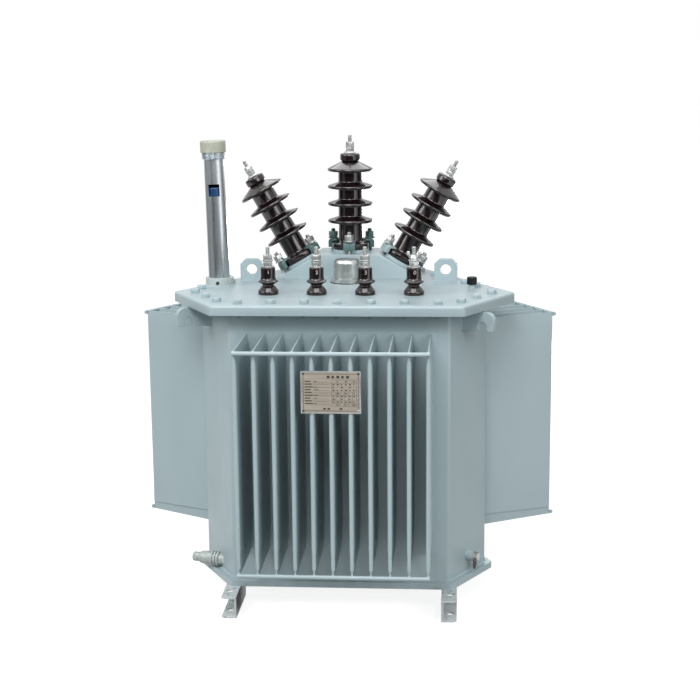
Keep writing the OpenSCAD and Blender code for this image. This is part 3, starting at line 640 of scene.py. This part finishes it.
def clampCastings():
    shape = clampShape()
    teal, pale = bmesh.new(), bmesh.new()
    for name, k, place in clampPlaces():
        stamp(pale if (name, k) == clampLook["pale"] else teal, shape, place)
    newPiece("clampCastings", teal, "clamp_paint", replaced=["hv_clamps"])
    newPiece("paleClamp", pale, "clamp_paint", "tank_paint")


def clampFasteners():
    c = clampLook
    nut = hexNut(c)
    ring = washer(c["washerR"], c["washerHeight"])
    spring = washer(c["springR"], c["washerHeight"])
    stud = threadedStud(c["studR"], c["top"] + c["studTop"], c["studPitch"])
    bright, painted = bmesh.new(), bmesh.new()
    for name, k, place in clampPlaces():
        stack(painted if (name, k) in c["painted"] else bright, place @ shift(c["boltR"], 0, 0),
              (stud, lift(0)), (ring, lift(c["top"])), (spring, lift(c["top"] + c["washerHeight"])),
              (nut, lift(c["top"] + 2 * c["washerHeight"]) @ twist(c["nutTurn"] * k)))
    newPiece("clampFasteners", bright, "zinc_steel")
    newPiece("paintedFasteners", painted, "clamp_paint")


hvPorcelain()
hvTerminals()
clampCastings()
clampFasteners()


# Low-voltage bushings: glazed porcelain, terminals and numbers

lvGlaze = dict(
    footR=0.0255, footHeight=0.0098, footDrop=0.001, chamfer=0.0008,
    bellTopR=0.0158, bellTop=0.0222, bellSwell=0.0003, bellSteps=5,
    waistR=0.014, waistLow=0.0228, waistHigh=0.0243,
    underR=0.0225, underHeight=0.0302, shedR=0.0254, rimR=0.0017, rimHeight=0.0326,
    barrelR=0.0184, flareLow=0.0352, flareTop=0.046, flareIn=0.0022,
    flareBend=2.2, flareClimb=1.6, flareSteps=6, edge=0.002, height=0.068,
)
lvLook = dict(
    washerR=0.0155, smallWasherR=0.0135, washerHeight=0.0035,
    nutR=0.0125, nutHeight=0.0125, nutChamfer=0.0014, nutTurn=0.25,
    studR=0.0055, studFree=0.02,
    winged=4,               # the terminal with the wing nut
    wingSpan=0.038, wingHeight=0.021, wingThickness=0.0045, wingLow=0.002, wingSoften=0.0012,
    wingRoot=0.6, wingJoin=0.95, hubR=0.0105, hubEdge=0.0006,
    numbers="1230", numberSize=0.0135, numberTurn=9, numberHeight=0.0572,
    numberThickness=0.00025, numberGap=0.00005, cutPitch=0.0008, cuts=6,
)
lvRange = (1, 2, 3, 4)


def lvPlace(i):
    mount = mounts[f"lv_stud_{i}"]
    return shift(mount["pos_m"][0], mount["pos_m"][1], coverTop)


def lvOutline():
    g = lvGlaze
    inner = g["footR"] - g["chamfer"]
    line = [(0, 0), (inner, 0), (g["footR"], g["chamfer"]), (g["footR"], g["footHeight"] - g["footDrop"])]
    for k in range(g["bellSteps"] + 1):   # bell, swelling a little between foot and waist
        t = k / g["bellSteps"]
        swell = g["bellSwell"] * sin(pi * t)
        line.append((inner + (g["bellTopR"] - g["footR"]) * t + swell,
                     g["footHeight"] + (g["bellTop"] - g["footHeight"]) * t + swell))
    line += [(g["waistR"], g["waistLow"]), (g["waistR"], g["waistHigh"]), (g["underR"], g["underHeight"])]
    line += arcPoints(g["shedR"] - g["rimR"], g["rimHeight"], g["rimR"], -65, 78, 6)
    wide = g["shedR"] - g["barrelR"] - g["flareIn"]
    tall = g["flareTop"] - g["flareLow"]
    for k in range(g["flareSteps"] + 1):   # hollow flare from the shed up to the barrel
        t = k / g["flareSteps"]
        line.append((g["barrelR"] + wide * (1 - t) ** g["flareBend"],
                     g["flareLow"] + tall * t ** g["flareClimb"]))
    line += arcPoints(g["barrelR"] - g["edge"], g["height"] - g["edge"], g["edge"], 0, 90)
    return line + [(0, g["height"])]


def lvPorcelain():
    shape = lathe(lvOutline(), 64)
    for i in lvRange:
        newPiece(f"lvPorcelain_{i}", placed(shape, lvPlace(i)), "brown_porcelain", sharp=60,
                 replaced=[f"lv_bushing_{i}"])


def wingNut():
    # a turned hub with two bent wings
    w = lvLook
    hubR, edge, tall = w["hubR"], w["hubEdge"], w["nutHeight"]
    hub = lathe([(0, 0), (hubR - edge, 0), (hubR, edge), (hubR - 2 * edge, tall - edge),
                 (hubR - 3 * edge, tall), (0, tall)], 32)
    curl = w["wingHeight"] / 4
    outline = [(hubR * w["wingRoot"], w["wingLow"]), (hubR, w["wingLow"])]
    outline += arcPoints(w["wingSpan"] / 2 - curl, w["wingHeight"] - curl, curl, -45, 135, 8)
    outline += [(hubR * w["wingJoin"], tall), (hubR * w["wingRoot"], tall)]
    wing = pulled(outline, -w["wingThickness"] / 2, (0, w["wingThickness"], 0), w["wingSoften"])
    bm = bmesh.new()
    stack(bm, lift(0), (hub, lift(0)), (wing, lift(0)), (wing, twist(pi)))
    return asShape(bm)


def lvTerminals():
    w = lvLook
    big = washer(w["washerR"], w["washerHeight"])
    small = washer(w["smallWasherR"], w["washerHeight"])
    nut = hexNut(w)
    wings = wingNut()
    washerZ = w["washerHeight"] + w["nutHeight"]
    upper = washerZ + w["washerHeight"]
    stud = threadedStud(w["studR"], upper + w["nutHeight"] + w["studFree"])
    bm = bmesh.new()
    for i in lvRange:
        turn = twist(w["nutTurn"] * i)
        stack(bm, lvPlace(i) @ lift(lvGlaze["height"]),
              (big, lift(0)), (nut, lift(w["washerHeight"]) @ turn), (small, lift(washerZ)),
              (wings, lift(upper)) if i == w["winged"] else (nut, lift(upper) @ turn), (stud, lift(0)))
    newPiece("lvTerminals", bm, "zinc_steel", replaced=["lv_terminals"])


def numberShape(text):
    curve = bpy.data.curves.new("number", "FONT")
    curve.body = text
    curve.size = lvLook["numberSize"]
    curve.align_x = "CENTER"
    curve.align_y = "CENTER"
    holder = intoScene("number", curve)
    bpy.context.view_layer.update()
    flat = bpy.data.meshes.new_from_object(holder.evaluated_get(bpy.context.evaluated_depsgraph_get()))
    bpy.data.objects.remove(holder)
    bm = bmesh.new()
    bm.from_mesh(flat)
    for k in range(-lvLook["cuts"], lvLook["cuts"] + 1):
        sliced(bm, (k * lvLook["cutPitch"], 0, 0), (1, 0, 0))
    return bm


def lvNumbers():
    w = lvLook
    bm = bmesh.new()
    radius = lvGlaze["barrelR"] + w["numberGap"]
    for i, text in enumerate(w["numbers"], 1):
        flat = numberShape(text)
        for v in flat.verts:   # wraps the flat figure round the barrel
            angle = v.co.x / radius
            v.co = Vector((radius * sin(angle), -radius * cos(angle), v.co.y))
        cleaned(flat)
        bmesh.ops.solidify(flat, geom=flat.faces[:], thickness=w["numberThickness"])
        stamp(bm, asShape(flat), lvPlace(i) @ lift(w["numberHeight"]) @ turned(w["numberTurn"]))
    newPiece("lvNumbers", bm, "brown_porcelain", "numeralPaint", sharp=30)


lvPorcelain()
lvTerminals()
lvNumbers()


# Name plate: raised border, ruled lines and short bars, each given by its left, low, right and high edge

plateLook = dict(
    rim=0.003, rimHeight=0.0007, rule=0.0007, ruleHeight=0.00018, soften=0.0003,
    border=0.0058, borderLine=0.0011,
    titleBar=(0.061, -0.0165, 0.0678, -0.0105), titleStep=0.0112, titleShort=0.0012, titleBars=5,
    rowsTop=0.0225, leftRows=9, leftPitch=0.0066,
    boldBar=(0.0095, -0.0026, 0.0235, 0), boldStep=0.0025,
    thinLine=(0.0285, -0.003, 0.0665, -0.00251),
    faintBar=(0.031, -0.002, 0.0375, -0.0006), faintStep=0.004,
    tableLeft=0.0725, tableRight=0.0105, tableRise=0.0015, tableLow=0.0115,
    tableRows=9, tableColumns=6, openRows=4,
    cellBar=(0.2, 0.3, 0.5, 0.7), cellStep=0.1,   # in parts of a cell
    footBar=(0, 0.0035, 0.0065, 0.0075), footBars=(0.052, 0.062, 0.09),
    screwInset=0.006, screwR=0.0028,
    screwDome=((0, 0), (1, 0), (0.9, 0.0008), (0.55, 0.0014), (0, 0.0016)),   # part of the radius, height
    brightScrew=1,          # the lower right one lost its dark coat
)
plateLow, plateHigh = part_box("nameplate")
plateWide = plateHigh.x - plateLow.x
plateTall = plateHigh.z - plateLow.z
plateFace = Matrix.Translation(plateLow) @ turned(90, "X")


def plateStrip(bm, x0, z0, x1, z1, proud):
    shape = block((x1 - x0, z1 - z0, proud), min(proud / 3, plateLook["soften"]))
    stamp(bm, shape, plateFace @ shift((x0 + x1) / 2, (z0 + z1) / 2, 0))


def plateBorder(bm, edge, line, tuck, proud):
    right, upper = plateWide - edge, plateTall - edge
    for x0, z0, x1, z1 in ((edge, edge, right, edge + line), (edge, upper - line, right, upper),
                           (edge, edge + tuck, edge + line, upper - tuck),
                           (right - line, edge + tuck, right, upper - tuck)):
        plateStrip(bm, x0, z0, x1, z1, proud)


def plateRim():
    bm = bmesh.new()
    plateBorder(bm, 0, plateLook["rim"], plateLook["rim"], plateLook["rimHeight"])
    newPiece("plateRim", bm, "plate_metal", "zinc_steel")


def plateLines():
    p = plateLook
    rule, edge = p["rule"], p["border"]
    bm = bmesh.new()

    def ink(bar, x, z, more=0.0):
        plateStrip(bm, x + bar[0], z + bar[1], x + bar[2] + more, z + bar[3], p["ruleHeight"])

    plateBorder(bm, edge, p["borderLine"], 0, p["ruleHeight"])
    for k in range(p["titleBars"]):   # title place
        ink(p["titleBar"], k * p["titleStep"], plateTall, -p["titleShort"] * (k % 2))
    top = plateTall - p["rowsTop"]
    for k in range(p["leftRows"]):   # left column: a bold bar, a ruled line and a faint bar
        z = top - k * p["leftPitch"]
        ink(p["boldBar"], 0, z, p["boldStep"] * ((k * 7) % 3))
        ink(p["thinLine"], 0, z)
        if k % 3 != 1:
            ink(p["faintBar"], 0, z, p["faintStep"] * (k % 2))
    left, low = p["tableLeft"], edge + p["tableLow"]
    rows, columns = p["tableRows"], p["tableColumns"]
    wide, tall = plateWide - p["tableRight"] - left, top + p["tableRise"] - low
    rise, step = tall / rows, wide / columns
    for k in range(rows + 1):   # right table, open above and closely ruled below
        ink((0, -rule / 2, wide, 0), left, low + k * rise)
    for n in range(columns + 1):
        high = tall if n in (0, columns) else rise * (rows - p["openRows"])
        ink((-rule / 2, -rule / 2, rule / 2, high), left + n * step, low)
    x0, z0, x1, z1 = p["cellBar"]
    cell = (x0 * step, z0 * rise, x1 * step, z1 * rise)
    for k in range(rows):
        for n in range(columns):
            if (3 * k + 2 * n) % 4:
                ink(cell, left + n * step, low + k * rise, step * p["cellStep"] * ((k + n) % 3))
    for x in p["footBars"]:
        ink(p["footBar"], x, edge)
    newPiece("plateLines", bm, "plate_metal", "plateInk")


def plateScrews():
    p = plateLook
    dome = lathe([(part * p["screwR"], height) for part, height in p["screwDome"]], 20)
    inset = p["screwInset"]
    corners = [(x, z) for z in (inset, plateTall - inset) for x in (inset, plateWide - inset)]
    dark, bright = bmesh.new(), bmesh.new()
    for k, (x, z) in enumerate(corners):
        stamp(bright if k == p["brightScrew"] else dark, dome, plateFace @ shift(x, z, 0))
    newPiece("plateScrews", dark, "zinc_steel", "darkScrewSteel")
    newPiece("brightPlateScrew", bright, "zinc_steel")


plateRim()
plateLines()
plateScrews()


# Weld beads where plates and bars meet

weldLook = dict(
    bead=0.0032, step=0.0026, small=0.0022,
    wave=0.12, ripple=0.06, squash=0.62,        # a hand-laid bead varies a little
    hookX=0.03, hookHalf=0.007, endGap=0.001,
    cornerGap=0.006, footStep=1.3,
    rodOff=0.004, rodBead=(1.6, 1.1, 0.9, 1),
)


def beadShape(radius):
    bm = bmesh.new()
    bmesh.ops.create_icosphere(bm, subdivisions=2, radius=radius)
    return asShape(bm)


def weldLine(bm, shape, start, end, step):
    start, end = Vector(start), Vector(end)
    count = max(2, int((end - start).length / step))
    aim = (end - start).normalized().to_track_quat("X", "Z").to_matrix().to_4x4()
    for k in range(count + 1):
        size = 1 + weldLook["wave"] * sin(2.1 * k) + weldLook["ripple"] * sin(5.3 * k)
        squash = Matrix.Diagonal((weldLook["squash"] * size, size, size, 1))
        stamp(bm, shape, Matrix.Translation(start.lerp(end, k / count)) @ aim @ squash)


def weldRing(bm, shape, place, radius, step):
    count = int(fullTurn * radius / step)
    for k in range(count):
        size = 1 + weldLook["wave"] * sin(2.1 * k)
        squash = Matrix.Diagonal((size, weldLook["squash"] * size, size, 1))
        stamp(bm, shape, place @ twist(fullTurn * k / count) @ shift(radius, 0, 0) @ squash)


def coverWelds():
    bm = bmesh.new()
    shape = beadShape(weldLook["bead"])
    step = weldLook["step"]
    low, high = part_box("hv_turret")
    weldLine(bm, shape, (low.x, low.y, coverTop), (high.x, low.y, coverTop), step)
    for name in ("lifting_lug_left", "lifting_lug_right"):
        low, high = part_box(name)
        for y in (low.y, high.y):
            weldLine(bm, shape, (low.x, y, coverTop), (high.x, y, coverTop), step)
        for x in (low.x, high.x):
            weldLine(bm, shape, (x, low.y, coverTop), (x, high.y, coverTop), step)
    for name in ("gauge_flange", "pocket_stub"):
        weldRing(bm, shape, *onCover(name), step)
    newPiece("coverWelds", bm, "tank_paint", sharp=80)


def tankWelds():
    w = weldLook
    bm = bmesh.new()
    shape = beadShape(w["bead"])
    for name, angle in plainSides.items():
        low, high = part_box("tank_hook_" + name)
        for x in (w["hookX"] - w["hookHalf"], w["hookX"] + w["hookHalf"]):
            ends = [sidePlace(angle, x, shortDist, z).translation
                    for z in (low.z + w["endGap"], high.z - w["endGap"])]
            weldLine(bm, shape, *ends, w["step"])
    sides = [(angle, longDist, tankPlan["longSide"]) for angle in finnedSides.values()]
    sides += [(angle, shortDist, tankPlan["shortSide"]) for angle in plainSides.values()]
    for angle, dist, side in sides:
        half = side / 2 - w["cornerGap"]
        ends = [sidePlace(angle, x, dist, wallFoot).translation for x in (-half, half)]
        weldLine(bm, shape, *ends, w["step"] * w["footStep"])
    newPiece("tankWelds", bm, "tank_paint", sharp=80)


coverWelds()
tankWelds()


# Fins: weld spots of the tie rods, and the step where the sheet bulges out above each welded foot

finLook = dict(
    count=11, pitch=0.045, depth=0.225, rodR=0.005, seam=0.0015,
    bankFoot=0.012, crease=0.022, lip=0.0027, lipRise=0.0008, lipRun=0.03,
    lipStart=0.004, lipEnd=0.2235,
    lipClimb=0.009, lipShare=0.7,   # the lip is higher at the tank
)


def finAlongs():
    return [(k - (finLook["count"] - 1) / 2) * finLook["pitch"] for k in range(finLook["count"])]


def rodWelds():
    bm = bmesh.new()
    shape = beadShape(weldLook["small"])
    flat = Matrix.Diagonal(weldLook["rodBead"])
    for name, angle in finnedSides.items():
        low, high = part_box(name + "_fin_rods")
        for z in (low.z + finLook["rodR"], high.z - finLook["rodR"]):
            for x in finAlongs():
                for off in (-weldLook["rodOff"], weldLook["rodOff"]):
                    stamp(bm, shape, sidePlace(angle, x, longDist + finLook["depth"], z + off) @ flat)
    newPiece("rodWelds", bm, "tank_paint", sharp=80)


def finCreases():
    f = finLook
    outer = f["seam"] + f["lip"]
    outline = [(f["seam"], 0), (outer, f["lipRise"]), (outer, f["lipRun"]), (f["seam"], f["lipRun"])]
    shape = pulled(outline, f["lipStart"], (0, f["lipEnd"] - f["lipStart"], -f["lipClimb"]))
    bm = bmesh.new()
    for name, angle in finnedSides.items():
        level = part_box(name + "_fin_bank")[0].z + f["bankFoot"] + f["crease"]
        level += f["lipClimb"] * f["lipShare"]
        for x in finAlongs():
            stack(bm, sidePlace(angle, x, longDist, level),
                  (shape, lift(0)), (shape, Matrix.Diagonal((-1, 1, 1, 1))))
    bmesh.ops.recalc_face_normals(bm, faces=bm.faces)
    newPiece("finCreases", bm, "tank_paint", sharp=30)


rodWelds()
finCreases()


# Oil gauge: leaning tube with its window, float, a dark sheet that paints the shade inside the chamber,
# threads under the cap and a set screw

gaugeLook = dict(
    lean=1.4, floor=0.004,
    collarR=0.0298, collarLow=0.3285, collarHeight=0.0175, threads=5,
    thread=((0.0007, 0.35), (0.0007, 0.6), (-0.001, 0.98)),   # from collarR, in pitches
    screwHead=((0, 0), (0.0042, 0), (0.0042, 0.0016), (0.0036, 0.0022), (0.0021, 0.0022),
                  (0.00189, 0.001), (0, 0.001)),   # radius and height
    screwGap=0.0002, screwLevel=0.011,
    # the dark sheet of painted shade inside the sight chamber
    shadeSheetR=0.0211, shadeSheetLow=0.2525, shadeSheetTop=0.2935, shadeSheetHole=0.0005,
    shadeSheetStart=-44, shadeSheetSpan=268,
    floatR=0.0198, floatLow=0.203, floatTop=0.257, floatRound=0.004,
    tubeR=0.0282, tubeTopR=0.0251, tubeLow=0.004, tubeTop=0.347, wall=0.003,
    windowLow=0.234, windowTop=0.265, windowTurn=35, steps=72,
)
gaugePlace = onCover("gauge_flange")[0] @ lift(gaugeLook["floor"]) @ turned(-gaugeLook["lean"], "Y")
gaugePlace = gaugePlace @ lift(-gaugeLook["floor"])


def gaugeThreads():
    g = gaugeLook
    pitch = g["collarHeight"] / g["threads"]
    outline = [(g["collarR"] + g["thread"][-1][0], 0.0)]
    outline += [(g["collarR"] + out, (k + up) * pitch)
                for k in range(g["threads"]) for out, up in g["thread"]]
    newPiece("gaugeThreads", placed(lathe(outline, 64), gaugePlace @ lift(g["collarLow"])), "gauge_metal")


def gaugeScrew():
    low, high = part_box("gauge_flange")
    head = lathe(gaugeLook["screwHead"], 24)
    place = shift((low.x + high.x) / 2, low.y - gaugeLook["screwGap"], coverTop + gaugeLook["screwLevel"])
    newPiece("gaugeScrew", placed(head, place @ turned(90, "X")), "zinc_steel", "darkScrewSteel")


def gaugeShadeSheet():
    # a dark sheet that paints the shade inside the sight chamber above the float, open towards the window
    g = gaugeLook
    outline = [(g["shadeSheetR"], g["shadeSheetLow"]), (g["shadeSheetR"], g["shadeSheetTop"]),
               (g["shadeSheetHole"], g["shadeSheetTop"])]
    shape = asShape(spun(outline, 48, radians(g["shadeSheetSpan"]), radians(g["shadeSheetStart"])))
    newPiece("gaugeShadeSheet", placed(shape, gaugePlace), "cap_rubber")


def gaugeTube():
    g = gaugeLook
    slant = (g["tubeTopR"] - g["tubeR"]) / (g["tubeTop"] - g["tubeLow"])
    outline = [(g["tubeR"] + slant * (z - g["tubeLow"]), z)
               for z in (g["tubeLow"], g["windowLow"], g["windowTop"], g["tubeTop"])]
    bm = cleaned(spun(outline, g["steps"], use_merge=True))
    window = []
    for face in bm.faces:
        spot = face.calc_center_median()
        aside = degrees(atan2(spot.x, -spot.y))
        if g["windowLow"] < spot.z < g["windowTop"] and abs(aside) < g["windowTurn"]:
            window.append(face)
    bmesh.ops.delete(bm, geom=window, context="FACES")
    bm.transform(gaugePlace)
    tube = newPiece("gaugeTube", bm, "gauge_metal", replaced=["gauge_tube"])
    uses = [key for face in tube.data.polygons for key in face.edge_keys]
    for edge in tube.data.edges:   # crisp edges round the window and at the ends
        edge.use_edge_sharp = uses.count(edge.key) == 1
    giveWall(tube, g["wall"])


def gaugeFloat():
    g = gaugeLook
    curl = g["floatRound"]
    outline = [(0, g["floatLow"]), (g["floatR"], g["floatLow"])]
    outline += arcPoints(g["floatR"] - curl, g["floatTop"] - curl, curl, 0, 90) + [(0, g["floatTop"])]
    shape = lathe(outline, 56)
    newPiece("gaugeFloat", placed(shape, gaugePlace), "float_plastic", replaced=["gauge_float"])


gaugeThreads()
gaugeScrew()
gaugeShadeSheet()
gaugeTube()
gaugeFloat()


# Dark rubber gasket under the relief valve, which also paints the contact shadow under its flange

gasketShadeLook = dict(reach=0.0011, inner=0.03, height=0.0018)


def valveGasketAndShade():
    # a dark ring just wider than the flange: a gasket, and painted shade where the flange meets the cover
    place, radius = onCover("valve_flange")
    outer = radius + gasketShadeLook["reach"]
    inner, height = gasketShadeLook["inner"], gasketShadeLook["height"]
    shape = lathe([(inner, 0), (outer, 0), (outer, height), (inner, height), (inner, 0)], 64)
    newPiece("valveGasketAndShade", placed(shape, place), "cap_rubber")


valveGasketAndShade()


# The feet's channels run on under the base plate

footLook = dict(wall=0.005, run=0.055)


def footRuns():
    bm = bmesh.new()
    wall = footLook["wall"]
    for end, inward in (("front", 1), ("rear", -1)):
        for name, side in (("left", -1), ("right", 1)):
            low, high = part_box(f"foot_{end}_{name}")
            wide, tall = high.x - low.x, high.z
            outline = [(0, 0), (wide, 0), (wide, wall), (wall, wall), (wall, tall - wall),
                       (wide, tall - wall), (wide, tall), (0, tall)]
            channel = pulled([(x * side, z) for x, z in outline], 0, (0, footLook["run"] * inward, 0))
            stamp(bm, channel, shift(low.x if side > 0 else high.x, high.y if inward > 0 else low.y, 0))
    newPiece("footRuns", bm, "tank_paint", "footPaint", sharp=30)


footRuns()


# Plain red tag that hangs from the earth bolt

earthLook = dict(radius=0.015, height=0.0012, edgeLow=0.0008, edgeIn=0.0004,
             level=0.0965, out=0.0212, swing=13)


def earthTag():
    e = earthLook
    disc = lathe([(0, 0), (e["radius"], 0), (e["radius"], e["edgeLow"]),
                  (e["radius"] - e["edgeIn"], e["height"]), (0, e["height"])], 40)
    place = sidePlace(plainSides["right"], 0, shortDist + e["out"], e["level"]) @ turned(e["swing"])
    newPiece("earthTag", placed(disc, place @ turned(-90, "X")), "tank_paint", "earthPaint")


earthTag()


# Studio: pale floor, soft lamps, and cards that only reflections see

studio = dict(floorSize=60.0, floorGlow=0.865, floorColour=0.36, floorBounce=0.26,
          sky=0.4, skyColour=(0.97, 0.99, 1, 1), lampAim=0.5, cardAim=0.9, cardTall=1.3)
lamps = dict(
    frontLamp=dict(power=105, place=(-0.4, -3.4, 3.6), size=2.2),
    leftLamp=dict(power=51, place=(-3.2, -1.6, 2.6), size=2.0),
    rightLamp=dict(power=55, place=(2.8, -3.4, 2.2), size=2.4),
    topLamp=dict(power=18, place=(0, 0.9, 3.7), size=2.6),
    rearLamp=dict(power=26, place=(0.5, 3.4, 0.42), size=0.8),
)
# Standing cards: azimuth and distance from the middle, width, grey level
cards = dict(
    frontLeftCard=(-119, 2.3, 2.3, 0.05),
    frontRightCard=(-69, 2.3, 2.0, 0.05),
    stripCard=(-34, 2.0, 0.6, 2.2),
    leftCard=(180, 2.4, 3.2, 0.3),
    rightCard=(20, 2.4, 2.6, 0.3),
)
# Overhead cards: middle, width, depth, grey level
highCards = dict(
    highCard=((0.0, -1.0, 2.9), 1.9, 1.0, 5.5),
    backCard=((0.0, 1.8, 2.9), 2.4, 1.8, 3.4),
)
# Dark flags beside the front feet's inner webs
footFlags = dict(gap=0.014, length=0.104, height=0.062, grey=0.01)


def grey(level):
    return (level, level, level, 1)


def emptyTree(holder):
    holder.use_nodes = True
    holder.node_tree.nodes.clear()
    return holder.node_tree


def shaderOf(tree, kind, **values):
    made = tree.nodes.new(kind)
    for socket, value in values.items():
        made.inputs[socket].default_value = value
    return made.outputs[0]


def plainFinish(name, kind, **values):
    finish = bpy.data.materials.new(name)
    tree = emptyTree(finish)
    out = tree.nodes.new("ShaderNodeOutputMaterial")
    tree.links.new(shaderOf(tree, kind, **values), out.inputs["Surface"])
    return finish


def rayMask(tree):
    # one for camera, glossy and transmission rays
    path = tree.nodes.new("ShaderNodeLightPath")
    total = path.outputs["Is Camera Ray"]
    for name in ("Is Glossy Ray", "Is Transmission Ray"):
        most = tree.nodes.new("ShaderNodeMath")
        most.operation = "MAXIMUM"
        tree.links.new(total, most.inputs[0])
        tree.links.new(path.outputs[name], most.inputs[1])
        total = most.outputs[0]
    return total


def rayMix(tree, lit, seen, outKind):
    # what lights the object, and what the eye and reflections meet
    mix = tree.nodes.new("ShaderNodeMixShader")
    out = tree.nodes.new(outKind)
    for source, socket in zip((rayMask(tree), lit, seen), mix.inputs):
        tree.links.new(source, socket)
    tree.links.new(mix.outputs[0], out.inputs["Surface"])


def stagePlane(name, place, finish):
    bm = bmesh.new()
    bmesh.ops.create_grid(bm, x_segments=1, y_segments=1, size=0.5)
    bmesh.ops.transform(bm, matrix=place, verts=bm.verts)
    plane = linked(name, bm, finish)
    return plane


def aimed(place, height):
    # looks from place to a height on the middle line
    aim = Vector((0, 0, height)) - Vector(place)
    return Matrix.Translation(place) @ aim.to_track_quat("-Z", "Y").to_matrix().to_4x4()


def studioFloor():
    finish = bpy.data.materials.new("paleFloor")
    tree = emptyTree(finish)
    seen = tree.nodes.new("ShaderNodeAddShader")
    pale = shaderOf(tree, "ShaderNodeBsdfDiffuse", Color=grey(studio["floorColour"]))
    glow = shaderOf(tree, "ShaderNodeEmission", Strength=studio["floorGlow"])
    bounce = shaderOf(tree, "ShaderNodeBsdfDiffuse", Color=grey(studio["floorBounce"]))
    tree.links.new(pale, seen.inputs[0])
    tree.links.new(glow, seen.inputs[1])
    rayMix(tree, bounce, seen.outputs[0], "ShaderNodeOutputMaterial")
    stagePlane("studioFloor", Matrix.Diagonal((studio["floorSize"], studio["floorSize"], 1, 1)), finish)


def studioSky():
    world = bpy.data.worlds.new("studioSky")
    tree = emptyTree(world)
    light = shaderOf(tree, "ShaderNodeBackground", Strength=studio["sky"], Color=studio["skyColour"])
    white = shaderOf(tree, "ShaderNodeBackground", Color=grey(1))
    rayMix(tree, light, white, "ShaderNodeOutputWorld")
    bpy.context.scene.world = world


def softLamp(name, power, place, size):
    lamp = bpy.data.lights.new(name, "AREA")
    lamp.shape = "DISK"
    lamp.size = size
    lamp.energy = power
    intoScene(name, lamp).matrix_world = aimed(place, studio["lampAim"])


def reflectionCard(name, place, level):
    card = stagePlane(name, place, plainFinish(name, "ShaderNodeEmission", Strength=level))
    card.visible_camera = False
    card.visible_diffuse = False
    card.visible_shadow = False
    card.visible_transmission = False


def standingCard(name, azimuth, distance, wide, level):
    tall = studio["cardTall"]
    stand = turned(azimuth + 90) @ shift(0, -distance, tall / 2) @ turned(90, "X")
    reflectionCard(name, stand @ Matrix.Diagonal((wide, tall, 1, 1)), level)


def overheadCard(name, middle, wide, deep, level):
    reflectionCard(name, aimed(middle, studio["cardAim"]) @ Matrix.Diagonal((wide, deep, 1, 1)), level)


def footFlag(foot, side, cloth):
    f = footFlags
    low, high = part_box(foot)
    inner = low.x if side > 0 else high.x
    place = shift(inner - side * f["gap"], (low.y + high.y) / 2, f["height"] / 2) @ turned(90, "Y")
    flag = stagePlane("footFlag", place @ Matrix.Diagonal((f["height"], f["length"], 1, 1)), cloth)
    flag.visible_camera = False


studioFloor()
studioSky()
flagCloth = plainFinish("flagCloth", "ShaderNodeBsdfDiffuse", Color=grey(footFlags["grey"]))
footFlag("foot_front_left", -1, flagCloth)
footFlag("foot_front_right", 1, flagCloth)
for name, look in lamps.items():
    softLamp(name, **look)
for name, look in cards.items():
    standingCard(name, *look)
for name, look in highCards.items():
    overheadCard(name, *look)
print("studio ready")


# Camera at the photograph's viewing angle

cameraLook = dict(lens=77.63, sensor=36, yaw=4.3825, pitch=11.408, roll=-0.5376,
              x=0.30436, fromAxis=-3.8685, height=1.39204)
lensData = bpy.data.cameras.new("camera")
lensData.lens = cameraLook["lens"]
lensData.sensor_width = cameraLook["sensor"]
camera = intoScene("camera", lensData)
stand = shift(cameraLook["x"], cameraLook["fromAxis"] + axisY, cameraLook["height"])
aim = turned(cameraLook["yaw"]) @ turned(90 - cameraLook["pitch"], "X") @ turned(cameraLook["roll"])
camera.matrix_world = stand @ aim
bpy.context.scene.camera = camera
bpy.context.scene.view_settings.view_transform = "Standard"
print("camera ready")

bpy.context.view_layer.update()
